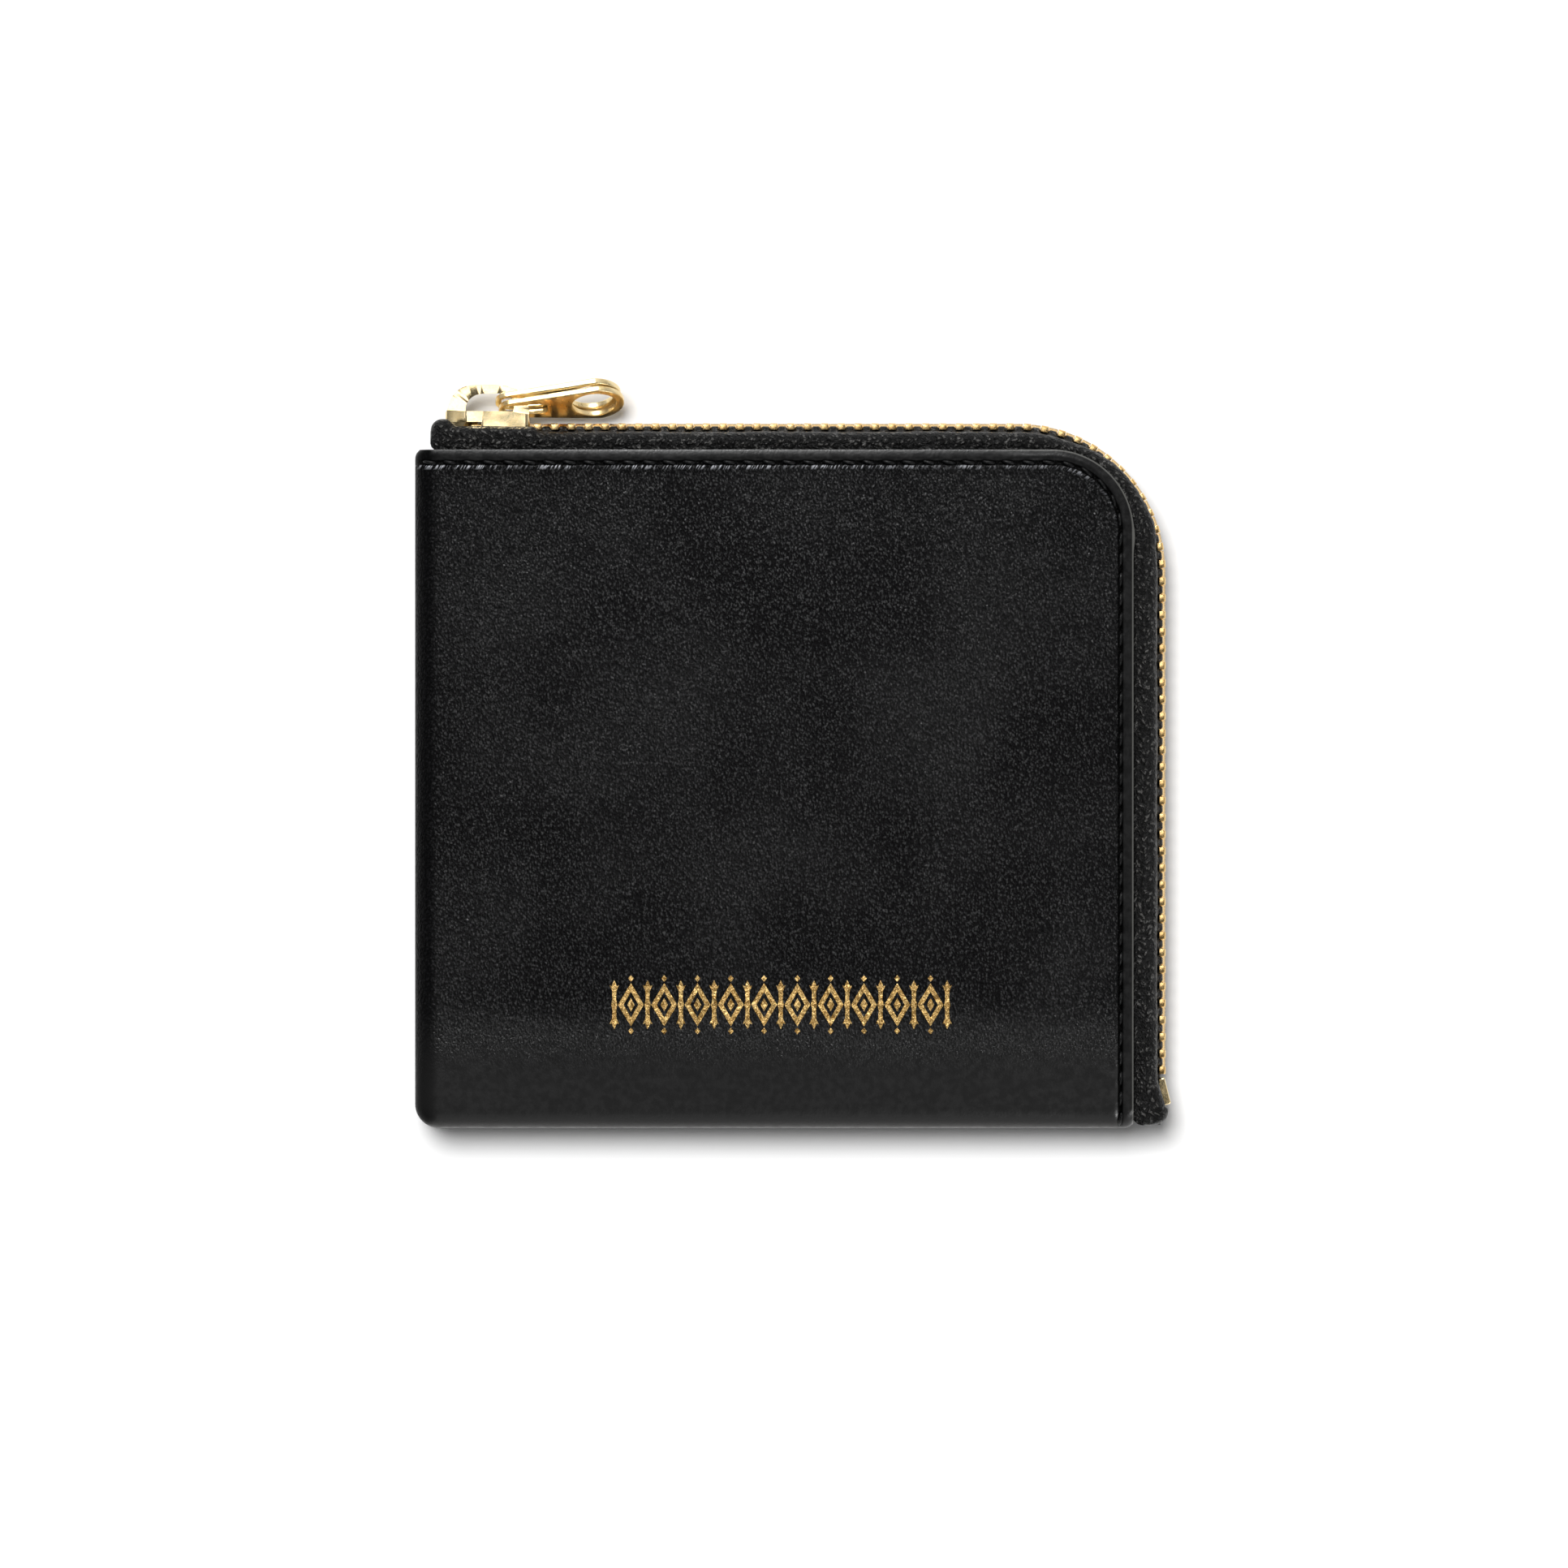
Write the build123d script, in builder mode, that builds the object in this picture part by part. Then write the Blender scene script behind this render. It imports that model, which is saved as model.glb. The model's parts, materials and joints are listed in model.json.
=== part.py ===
"""Zip around wallet, closed on two sides by one metal zip that turns the corner.

Millimetres. +X runs along the zipped top edge, +Y up the wallet towards that edge, +Z out of the front face.
The origin is the middle of the flat back face, on which the wallet lies.
Each piece is written to parts/NAME.step.
"""

from build123d import *
import math
import os

# ---- outer leather ----
WIDTH = 108.0
HEIGHT = 102.0
DEPTH = 16.0
LEATHER = 1.3
CORNER_ZIP = 12.2  # corner that the zip runs round
CORNER_SEAM = 3.2  # corner where the two closed seams meet
CORNER_SMALL = 1.0
ROLL = 3.0  # how far the leather rolls over at the closed seams
LEFT = -WIDTH / 2
RIGHT = WIDTH / 2
BOTTOM = -HEIGHT / 2
TOP = HEIGHT / 2
MIDDLE = DEPTH / 2

# ---- layers inside the leather ----
GAP = 0.02  # play between pieces that lie on each other
TAPE = 0.6
LINING = 0.6
SEWN = 8.0  # width of zip tape held between leather and lining
HOLD = LEATHER + GAP  # depth at which the zip tape starts
LINED = HOLD + TAPE + GAP  # depth at which the lining starts
INSIDE = LINED + LINING  # depth of the lining's free face

# ---- stitching along the zipped edges ----
STITCH_INSET = 1.95
STITCH_PITCH = 3.0

# ---- front lip: the stretch of front leather that gapes when the zip is run back ----
LIP_LEFT = LEFT + STITCH_PITCH * 4.25  # both ends fall between two stitches
LIP_RIGHT = LEFT + STITCH_PITCH * 24.25
LIP_FOLD = 0.0
LIP_PLAY = 0.1

# ---- main zip ----
CHAIN_Y = TOP + 2.75
CHAIN_X = RIGHT + 3.65
CHAIN_CORNER = 21.0
TAPE_START = LEFT + 2.3
TAPE_END = BOTTOM + LEATHER + 2 * GAP
TOOTH_PITCH = 2.54
FIRST_TOOTH = -43.2
LAST_TOOTH = -42.4

# ---- coin pocket and its own smaller zip ----
COIN_LEFT = -47.0
COIN_RIGHT = 47.0
COIN_TOP = 28.0
COIN_WALL = 0.4
GUSSET = 0.6
COIN_HALF = 3.5  # half the clear depth between the pocket's walls
COIN_MIDDLE = 8.1  # height of the pocket's middle above the back face
COIN_CHAIN_Y = COIN_TOP + 2.4
COIN_PITCH = 2.0
COIN_FIRST = -40.4
COIN_LAST = 42.0

# ---- card pockets ----
CARD_REACH = 46.0  # half the width of the card pockets
CARD_TOP = 34.0
CARD_LAYER = 0.25
CARD_TOPS = (26.0, 18.0, 10.0, 2.0)
POCKET_BOTTOM = -47.0
SLIP_TOP = 22.0

# ---- foil ornament ----
FOIL = 0.05
FOIL_Y = BOTTOM + 18.6
FOIL_X = 1.0
FOIL_LENGTH = 50.0


def corner(shape, right, up):
    """The vertex of a flat shape that lies furthest towards (right, up)."""
    return max(shape.vertices(), key=lambda v: right * v.X + up * v.Y)


def panel_outline(left, right, bottom, top, zip_radius, seam_radius, small_radius):
    """A panel's outline, with the wide corner at the top right and the seam corner at the bottom left."""
    with BuildSketch() as outline:
        with Locations(((left + right) / 2, (bottom + top) / 2)):
            Rectangle(right - left, top - bottom)
        fillet(corner(outline, 1, 1), zip_radius)
        fillet(corner(outline, -1, -1), seam_radius)
        if small_radius:
            fillet([corner(outline, -1, 1), corner(outline, 1, -1)], small_radius)
    return outline.sketch


LEATHER_OUTLINE = panel_outline(LEFT, RIGHT, BOTTOM, TOP, CORNER_ZIP, CORNER_SEAM, CORNER_SMALL)
LINING_EDGE = 0.4
LINING_OUTLINE = panel_outline(
    LEFT + LEATHER + LINING_EDGE,
    RIGHT - LINING_EDGE,
    BOTTOM + LEATHER + LINING_EDGE,
    TOP - LINING_EDGE,
    CORNER_ZIP - LINING_EDGE,
    CORNER_SEAM - LEATHER,
    0,
)


def slab(left, right, bottom, top, low, high, mode=Mode.ADD):
    """A flat rectangular sheet or space between two depths, joined to the part being built."""
    with Locations((left, bottom, low)):
        Box(right - left, top - bottom, high - low, align=(Align.MIN, Align.MIN, Align.MIN), mode=mode)


# ---------------------------------------------------------------- outer leather
def leather_tray(name, low, high, open_low, open_high, face_height):
    """Half of the outer leather: a face and the walls that it turns down along the two closed seams."""
    with BuildPart() as tray:
        with BuildSketch(Plane.XY.offset(low)):
            add(LEATHER_OUTLINE)
        extrude(amount=high - low)
        rim = tray.edges().filter_by_position(Axis.Z, face_height, face_height)
        closed = rim.filter_by(lambda e: (e @ 0.5).X < LEFT + ROLL or (e @ 0.5).Y < BOTTOM + ROLL)
        fillet(closed.filter_by(lambda e: e.length > CORNER_SMALL * 2), ROLL)
        reach = CHAIN_CORNER
        with BuildSketch(Plane.XY.offset(open_low)):
            with Locations(((LEFT + LEATHER + RIGHT + reach) / 2, (BOTTOM + LEATHER + TOP + reach) / 2)):
                Rectangle(WIDTH - LEATHER + reach, HEIGHT - LEATHER + reach)
        extrude(amount=open_high - open_low, mode=Mode.SUBTRACT)
    tray.part.label = name
    return tray


back_panel = leather_tray("back_panel", 0, MIDDLE - GAP, LEATHER, MIDDLE, 0)
front_panel = leather_tray("front_panel", MIDDLE + GAP, DEPTH, MIDDLE, DEPTH - LEATHER, DEPTH)
with front_panel:
    slab(LIP_LEFT, LIP_RIGHT, LIP_FOLD, TOP + 1, DEPTH - LEATHER - 1, DEPTH + 1, Mode.SUBTRACT)
front_panel.part.label = "front_panel"

with BuildPart() as front_lip:
    slab(LIP_LEFT + LIP_PLAY, LIP_RIGHT - LIP_PLAY, LIP_FOLD + LIP_PLAY, TOP, DEPTH - LEATHER, DEPTH)
front_lip.part.label = "front_lip"


# ---------------------------------------------------------------- linings
def lining(name, low):
    """A sheet of lining that covers the inside of one leather face."""
    with BuildPart() as sheet:
        with BuildSketch(Plane.XY.offset(low)):
            add(LINING_OUTLINE)
        extrude(amount=LINING)
    sheet.part.label = name
    return sheet


back_lining = lining("back_lining", LINED)
front_lining = lining("front_lining", DEPTH - INSIDE)
with front_lining:
    slab(LIP_LEFT, LIP_RIGHT, LIP_FOLD, TOP + 1, DEPTH - INSIDE - 1, DEPTH - LINED + 1, Mode.SUBTRACT)
front_lining.part.label = "front_lining"

with BuildPart() as front_lip_lining:
    slab(
        LIP_LEFT + LIP_PLAY,
        LIP_RIGHT - LIP_PLAY,
        LIP_FOLD + LIP_PLAY,
        TOP - LINING_EDGE,
        DEPTH - INSIDE,
        DEPTH - LINED,
    )
front_lip_lining.part.label = "front_lip_lining"


# ---------------------------------------------------------------- main zip: path, tapes and teeth
ARC_CENTRE = (CHAIN_X - CHAIN_CORNER, CHAIN_Y - CHAIN_CORNER)
ARC_LENGTH = CHAIN_CORNER * math.pi / 2


def chain_location(along):
    """Where the chain stands a given length after the start of its corner, with X along it and Y outwards."""
    if along < 0:
        return Location((ARC_CENTRE[0] + along, CHAIN_Y, MIDDLE))
    if along < ARC_LENGTH:
        turn = along / CHAIN_CORNER
        place = (
            ARC_CENTRE[0] + CHAIN_CORNER * math.sin(turn),
            ARC_CENTRE[1] + CHAIN_CORNER * math.cos(turn),
            MIDDLE,
        )
        return Location(place, (0, 0, -math.degrees(turn)))
    return Location((CHAIN_X, ARC_CENTRE[1] - (along - ARC_LENGTH), MIDDLE), (0, 0, -90))


def chain_line(offset, start=TAPE_START, end=TAPE_END):
    """The chain's path, moved outwards by offset, as lines in the builder that is open."""
    radius = CHAIN_CORNER + offset
    top_line = Line((start, CHAIN_Y + offset), (ARC_CENTRE[0], CHAIN_Y + offset))
    turn = CenterArc(ARC_CENTRE, radius, 90, -90)
    Line((CHAIN_X + offset, ARC_CENTRE[1]), (CHAIN_X + offset, end))
    return top_line, turn


def tape_band(inner_offset, outer_offset):
    """Flat band along the chain's path between two offsets."""
    with BuildSketch() as band:
        with BuildLine():
            chain_line(outer_offset)
            chain_line(inner_offset)
            Line((TAPE_START, CHAIN_Y + inner_offset), (TAPE_START, CHAIN_Y + outer_offset))
            Line((CHAIN_X + inner_offset, TAPE_END), (CHAIN_X + outer_offset, TAPE_END))
        make_face()
    return band.sketch


BEAD = 0.6
BEAD_DEPTH = 1.9  # from the middle of the chain to the cord that the teeth grip
FLANGE_INNER = SEWN + CHAIN_Y - TOP


def zip_tape(name, side):
    """Woven tape of one half of the main zip: sewn flange, turned-in web and the corded bead."""
    face = MIDDLE + side * (MIDDLE - HOLD)
    with BuildPart() as tape:
        with BuildSketch(Plane.XY.offset(face - TAPE / 2 - side * TAPE / 2)):
            add(tape_band(-FLANGE_INNER, TAPE / 2))
        extrude(amount=TAPE)
        web_end = MIDDLE + side * BEAD_DEPTH
        with BuildSketch(Plane.XY.offset(min(web_end, face))):
            add(tape_band(-TAPE / 2, TAPE / 2))
        extrude(amount=abs(face - web_end))
        with BuildLine(Plane.XY.offset(web_end)) as path:
            chain_line(0)
        with BuildSketch(Plane(origin=(TAPE_START, CHAIN_Y, web_end), z_dir=(1, 0, 0))):
            Circle(BEAD)
        sweep(path=path.wires()[0])
    tape.part.label = name
    return tape


front_zip_tape = zip_tape("front_zip_tape", 1)
back_zip_tape = zip_tape("back_zip_tape", -1)


def grip_section(half_depth, bead, bead_depth, tape, reach):
    """Space for the bead and tape inside a tooth or stop, along the chain: X outwards, Y towards the tape."""
    with BuildSketch() as space:
        with Locations((0, bead_depth)):
            Circle(bead + GAP * 2)
        with Locations((0, bead_depth + (reach - bead_depth) / 2 + half_depth)):
            Rectangle(tape + GAP * 4, reach - bead_depth + half_depth * 2)
    return space.sketch


def tooth_solid(width, half_depth, head, legs, bead, bead_depth, tape):
    """One tooth that grips the tape at +Z, with its head past the chain's middle. X runs along the chain."""
    section_plane = Plane(origin=(-width / 2, 0, 0), x_dir=(0, 1, 0), z_dir=(1, 0, 0))
    neck = half_depth * 0.78
    with BuildPart() as tooth:
        with BuildSketch(section_plane):
            with BuildLine():
                Polyline(
                    (-neck * 0.7, -head),
                    (neck * 0.7, -head),
                    (neck, -head * 0.6),
                    (neck, head * 0.8),
                    (half_depth, head * 1.3),
                    (half_depth, legs - 0.25),
                    (half_depth - 0.25, legs),
                    (-half_depth + 0.25, legs),
                    (-half_depth, legs - 0.25),
                    (-half_depth, head * 1.3),
                    (-neck, head * 0.8),
                    (-neck, -head * 0.6),
                    close=True,
                )
            make_face()
            add(grip_section(half_depth, bead, bead_depth, tape, legs), mode=Mode.SUBTRACT)
        extrude(amount=width)
    return tooth.part


def stop_solid(length, half_depth, inner, legs, bead, bead_depth, tape):
    """A clip crimped on one tape's bead, at +Z."""
    section_plane = Plane(origin=(-length / 2, 0, 0), x_dir=(0, 1, 0), z_dir=(1, 0, 0))
    with BuildPart() as stop:
        with BuildSketch(section_plane):
            with Locations((0, (inner + legs) / 2)):
                RectangleRounded(half_depth * 2, legs - inner, 0.3)
            add(grip_section(half_depth, bead, bead_depth, tape, legs), mode=Mode.SUBTRACT)
        extrude(amount=length)
    return stop.part


def placed(name, shape, locations):
    """A node that holds one separate copy of a shape at each location."""
    with BuildPart() as group:
        with Locations(*locations):
            add(shape, clean=False)
    group.part.label = name
    return group


CHAIN_HALF_DEPTH = 1.3
CHAIN_LEGS = 3.0
tooth = tooth_solid(1.1, CHAIN_HALF_DEPTH, 0.85, CHAIN_LEGS, BEAD, BEAD_DEPTH, TAPE)
run_length = (ARC_CENTRE[0] - FIRST_TOOTH) + ARC_LENGTH + (ARC_CENTRE[1] - LAST_TOOTH)
tooth_count = int(run_length / TOOTH_PITCH) + 1  # in the front row; the back row has one fewer
first_along = FIRST_TOOTH - ARC_CENTRE[0]
other_face = Rot(180, 0, 0)  # turns a +Z piece to the back tape
half_pitch = TOOTH_PITCH / 2
front_teeth = placed(
    "front_teeth", tooth, [chain_location(first_along + i * TOOTH_PITCH) for i in range(tooth_count)]
)
back_teeth = placed(
    "back_teeth",
    tooth,
    [chain_location(first_along + half_pitch + i * TOOTH_PITCH) * other_face for i in range(tooth_count - 1)],
)

top_stop = stop_solid(1.6, CHAIN_HALF_DEPTH, 1.25, CHAIN_LEGS, BEAD, BEAD_DEPTH, TAPE)
TOP_STOP_X = FIRST_TOOTH - 1.55
front_top_stop = placed("front_top_stop", top_stop, [Location((TOP_STOP_X, CHAIN_Y, MIDDLE))])
back_top_stop = placed("back_top_stop", top_stop, [Location((TOP_STOP_X, CHAIN_Y, MIDDLE)) * other_face])


def clamp_stop(name, place, length, thick, reach, offset, tilt, bead, bead_depth, tape):
    """A clip crimped over both beads at a chain's end, standing outwards by offset and tipped by tilt."""
    with BuildPart() as stop:
        with Locations(Location((0, offset, 0), (0, 0, tilt))):
            Box(length, thick, reach * 2)
        fillet(stop.edges(), 0.25)
        for side in (1, -1):
            with Locations((0, 0, side * bead_depth)):
                Cylinder(bead + GAP * 2, length * 2, rotation=(0, 90, 0), mode=Mode.SUBTRACT)
            with Locations((0, 0, side * (bead_depth + reach))):
                Box(length * 2, tape + GAP * 4, reach * 2, mode=Mode.SUBTRACT)
    return placed(name, stop.part, [place])


BOTTOM_STOP_LENGTH = 4.1
STOP_PLAY = 1.2
last_along = ARC_LENGTH + ARC_CENTRE[1] - LAST_TOOTH
bottom_stop = clamp_stop(
    "bottom_stop",
    chain_location(last_along + STOP_PLAY + BOTTOM_STOP_LENGTH / 2),
    BOTTOM_STOP_LENGTH,
    thick=2.2,
    reach=CHAIN_LEGS,
    offset=0.55,
    tilt=14.0,
    bead=BEAD,
    bead_depth=BEAD_DEPTH,
    tape=TAPE,
)


# ---------------------------------------------------------------- sliders and pull tabs
class SliderSize:
    """Sizes of one slider. Lengths run from its nose, at the left, to its tail, at the right."""

    def __init__(self, nose, length, chain_y, middle, cavity, half_width, wing, crown, bridge, window):
        self.nose = nose
        self.tail = nose + length
        self.length = length
        self.chain_y = chain_y
        self.middle = middle  # height of the chain's middle above the wallet's back
        self.cavity = cavity  # half the height of the channel that the teeth run in
        self.half_width = half_width
        self.wing = wing
        self.crown = crown  # height of the bridge above the top wing
        self.bridge = bridge  # width of the bridge across the chain
        self.window = window  # height of the opening under the bridge
        self.top = chain_y + cavity + wing
        self.pivot_x = nose + length * 0.625
        self.pivot_y = self.top + window / 2


TAIL_WIDTH = 0.92  # a slider's width at its tail, against its full width


def wing_outline(size, clear):
    """Plan of a slider's wing, narrower by clear on each side: X along the chain and Y across it."""
    half = size.half_width - clear
    shoulder = size.nose + size.length * 0.24
    with BuildSketch() as outline:
        with BuildLine():
            Polyline(
                (size.tail, half * TAIL_WIDTH),
                (size.tail - size.length * 0.55, half),
                (shoulder, half),
                (size.nose, half * 0.45),
                (size.nose, -half * 0.45),
                (shoulder, -half),
                (size.tail - size.length * 0.55, -half),
                (size.tail, -half * TAIL_WIDTH),
                close=True,
            )
        make_face()
        fillet(outline.vertices(), size.half_width * 0.16)
    return outline.sketch


def plan_plane(size, height):
    """A plane square to Y at a height above the slider's chain, with X along the chain."""
    return Plane(origin=(0, size.chain_y + height, size.middle), x_dir=(1, 0, 0), z_dir=(0, 1, 0))


def curve_points(size, points):
    """Points of a slider's side view, given as parts of its length and heights above the top wing."""
    return [(size.nose + size.length * along, size.top + height) for along, height in points]


def zip_slider(name, size, flange, slot_half, lower_wing):
    """A die-cast slider: two wings with side flanges, a wedge that parts the rows, and a bridge for tabs."""
    cavity = size.cavity
    flange_start = size.nose + size.length * 0.435
    side_plane = Plane.XY.offset(size.middle)
    with BuildPart() as slider:
        with BuildSketch(plan_plane(size, cavity)):
            add(wing_outline(size, 0))
        extrude(amount=size.wing)
        chamfer_length, chamfer_depth = size.length * 0.26, size.wing * 0.3
        with BuildSketch(side_plane):
            with BuildLine():
                Polyline(
                    (size.tail - chamfer_length, size.top),
                    (size.tail + 1, size.top),
                    (size.tail, size.top - chamfer_depth),
                    close=True,
                )
            make_face()
        extrude(amount=size.half_width, both=True, mode=Mode.SUBTRACT)
        with BuildSketch(plan_plane(size, -cavity - lower_wing)):
            add(wing_outline(size, 0))
        extrude(amount=lower_wing)
        for low in (slot_half, -cavity):
            with BuildSketch(plan_plane(size, low)):
                add(wing_outline(size, 0))
                add(wing_outline(size, flange), mode=Mode.SUBTRACT)
                with Locations((flange_start - size.length / 2, 0)):
                    Rectangle(size.length, size.half_width * 3, mode=Mode.SUBTRACT)
                with Locations((size.tail, 0)):
                    Rectangle(flange * 2, (size.half_width * TAIL_WIDTH - flange) * 2, mode=Mode.SUBTRACT)
            extrude(amount=cavity - slot_half)
        wedge = size.half_width * 0.27
        wedge_back = size.nose + size.length * 0.03
        with BuildSketch(plan_plane(size, -cavity)):
            with BuildLine():
                Polyline(
                    (size.nose + size.length * 0.38, 0),
                    (size.nose + size.length * 0.2, wedge),
                    (wedge_back, wedge),
                    (wedge_back, -wedge),
                    (size.nose + size.length * 0.2, -wedge),
                    close=True,
                )
            make_face()
        extrude(amount=cavity * 2)
        base = -size.wing / 2
        crown, window = size.crown, size.window
        with BuildSketch(side_plane):
            with BuildLine():
                outer = Spline(
                    *curve_points(
                        size,
                        [
                            (0.01, base),
                            (0.06, crown * 0.46),
                            (0.18, crown * 0.86),
                            (0.37, crown),
                            (0.62, crown * 0.99),
                            (0.84, crown * 0.82),
                            (0.95, crown * 0.46),
                            (0.985, base),
                        ],
                    )
                )
                Line(outer @ 1, outer @ 0)
            make_face()
            with BuildLine():
                inner = Spline(
                    *curve_points(
                        size,
                        [
                            (0.24, 0),
                            (0.27, window * 0.6),
                            (0.37, window * 0.93),
                            (0.5, window),
                            (0.66, window * 0.99),
                            (0.77, window * 0.76),
                            (0.8, 0),
                        ],
                    )
                )
                Line(inner @ 1, inner @ 0)
            make_face(mode=Mode.SUBTRACT)
        extrude(amount=size.bridge / 2, both=True)
    slider.part.label = name
    return slider


def tab_plane(size, slide, lift, tilt, twist):
    """Middle plane of a pull tab hung on a slider's bridge, with X along the tab and Z out of its face."""
    t, w = math.radians(tilt), math.radians(twist)
    return Plane(
        origin=(size.pivot_x + slide, size.pivot_y + lift, size.middle),
        x_dir=(math.cos(t), math.sin(t), 0),
        z_dir=(-math.sin(t) * math.cos(w), math.cos(t) * math.cos(w), -math.sin(w)),
    )


def pull_tab(name, plane, ring_at, ring, hole, end_half, slot_half, slot_end, thick, thin, rim):
    """A pull tab: a loop that hangs on the bridge, a widening neck and a ring with a round hole."""
    bar = 0.45  # half the thickness of the loop's bar, along the tab
    lean = math.acos((ring - end_half) / ring_at)  # where the straight sides touch the ring
    with BuildPart() as tab:
        with BuildSketch(plane):
            with BuildLine():
                touch = (ring_at + ring * math.cos(lean), ring * math.sin(lean))
                loop = (end_half * 0.6, end_half)
                ThreePointArc((loop[0], -loop[1]), (-bar, 0), loop)
                Line(loop, touch)
                Line((loop[0], -loop[1]), (touch[0], -touch[1]))
                ThreePointArc(touch, (ring_at + ring, 0), (touch[0], -touch[1]))
            make_face()
            with Locations((ring_at, 0)):
                Circle(hole, mode=Mode.SUBTRACT)
            with Locations(((bar + slot_end) / 2, 0)):
                RectangleRounded(slot_end - bar, slot_half * 2, slot_half * 0.6, mode=Mode.SUBTRACT)
        extrude(amount=thick / 2, both=True)
        fillet(tab.edges(), rim)
        side = Plane(origin=plane.origin, x_dir=plane.x_dir, z_dir=plane.y_dir)
        reach = ring_at + ring + 1
        with BuildSketch(side):
            with BuildLine():
                Polyline(
                    (-1, thin / 2),
                    (slot_end * 0.3, thin / 2),
                    (slot_end * 1.1, thick / 2),
                    (reach, thick / 2),
                    (reach, -thick / 2),
                    (slot_end * 1.1, -thick / 2),
                    (slot_end * 0.3, -thin / 2),
                    (-1, -thin / 2),
                    close=True,
                )
            make_face()
        extrude(amount=ring + 1, both=True, mode=Mode.INTERSECT)
    tab.part.label = name
    return tab


MAIN = SliderSize(
    nose=-49.5,
    length=12.7,
    chain_y=CHAIN_Y,
    middle=MIDDLE,
    cavity=1.5,
    half_width=4.4,
    wing=1.6,
    crown=4.1,
    bridge=1.8,
    window=2.75,
)
slider = zip_slider("slider", MAIN, flange=0.85, slot_half=0.8, lower_wing=1.0)
REST_DEPTH = 1.0  # the top wing is cut down behind the bridge, where the twisted tabs dip
REST_START = MAIN.nose + MAIN.length * 0.47
REST_END = MAIN.nose + MAIN.length * 0.78  # right end of the cut that lies under the opening of the bridge
with slider:
    rest_low = MIDDLE - MAIN.half_width - 1
    behind = MIDDLE - MAIN.bridge / 2 - GAP * 2
    slab(REST_START, MAIN.tail + 1, MAIN.top - REST_DEPTH, MAIN.top + 1, rest_low, behind, Mode.SUBTRACT)
    slab(REST_START, REST_END, MAIN.top - REST_DEPTH, MAIN.top + GAP, rest_low, MIDDLE + 0.6, Mode.SUBTRACT)
slider.part.label = "slider"

TAB = dict(
    ring_at=14.0,
    ring=4.5,
    hole=3.35,
    end_half=2.1,
    slot_half=1.4,
    slot_end=6.9,
    thick=0.95,
    thin=0.7,
    rim=0.2,
)
TAB_TILT = 4.2
TAB_TWIST = 27.0
pull_tab_outer = pull_tab("pull_tab_outer", tab_plane(MAIN, 0, 0.175, TAB_TILT, TAB_TWIST), **TAB)
pull_tab_inner = pull_tab("pull_tab_inner", tab_plane(MAIN, 0.5, -0.975, TAB_TILT, TAB_TWIST), **TAB)


# ---------------------------------------------------------------- inside: cards, slip pocket and coin pocket
def sheet(name, left, right, bottom, top, low, thickness):
    """A flat leather or fabric piece of the inside."""
    with BuildPart() as piece:
        slab(left, right, bottom, top, low, low + thickness)
    piece.part.label = name
    return piece


card_low = INSIDE + GAP
card_backing = sheet("card_backing", -CARD_REACH, CARD_REACH, POCKET_BOTTOM, CARD_TOP, card_low, CARD_LAYER)
card_slots = []
for number, slot_top in enumerate(CARD_TOPS, start=1):
    low = card_low + number * (CARD_LAYER + GAP * 2)
    card_slots.append(
        sheet(f"card_slot_{number}", -CARD_REACH, CARD_REACH, POCKET_BOTTOM, slot_top, low, CARD_LAYER)
    )

slip_low = DEPTH - INSIDE - GAP - CARD_LAYER
slip_pocket = sheet("slip_pocket", -CARD_REACH, CARD_REACH, POCKET_BOTTOM, SLIP_TOP, slip_low, CARD_LAYER)

coin_back_low = COIN_MIDDLE - COIN_HALF - COIN_WALL
coin_front_low = COIN_MIDDLE + COIN_HALF
coin_pocket_back = sheet(
    "coin_pocket_back",
    LEFT + LEATHER + GAP,
    COIN_RIGHT,
    BOTTOM + LEATHER + GAP,
    COIN_TOP,
    coin_back_low,
    COIN_WALL,
)
coin_pocket_front = sheet(
    "coin_pocket_front", COIN_LEFT, COIN_RIGHT, POCKET_BOTTOM, COIN_TOP, coin_front_low, COIN_WALL
)

with BuildPart() as coin_pocket_gusset:
    gusset_low = COIN_MIDDLE - COIN_HALF + GAP
    gusset_high = COIN_MIDDLE + COIN_HALF - GAP
    gusset_top = COIN_TOP - 7
    slab(COIN_LEFT, COIN_RIGHT, POCKET_BOTTOM, gusset_top, gusset_low, gusset_high)
    slab(
        COIN_LEFT + GUSSET,
        COIN_RIGHT - GUSSET,
        POCKET_BOTTOM + GUSSET,
        gusset_top + 1,
        gusset_low,
        gusset_high,
        Mode.SUBTRACT,
    )
coin_pocket_gusset.part.label = "coin_pocket_gusset"

COIN_TAPE = 0.4
COIN_BEAD = 0.4
COIN_BEAD_DEPTH = 1.25
COIN_HALF_DEPTH = 0.95
COIN_LEGS = 2.0


def coin_tape(name, side):
    """Straight tape of the coin pocket's zip: sewn inside the wall, then turned in to the chain."""
    face = COIN_MIDDLE + side * (COIN_HALF - GAP)
    flat_low = face - COIN_TAPE / 2 - side * COIN_TAPE / 2
    web_end = COIN_MIDDLE + side * COIN_BEAD_DEPTH
    left, right = COIN_LEFT + 1, COIN_RIGHT - 1
    with BuildPart() as tape:
        slab(left, right, COIN_TOP - 6, COIN_CHAIN_Y + COIN_TAPE / 2, flat_low, flat_low + COIN_TAPE)
        web_low, web_high = sorted((web_end, face))
        slab(left, right, COIN_CHAIN_Y - COIN_TAPE / 2, COIN_CHAIN_Y + COIN_TAPE / 2, web_low, web_high)
        with BuildSketch(Plane(origin=(left, COIN_CHAIN_Y, web_end), z_dir=(1, 0, 0))):
            Circle(COIN_BEAD)
        extrude(amount=right - left)
    tape.part.label = name
    return tape


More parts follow.
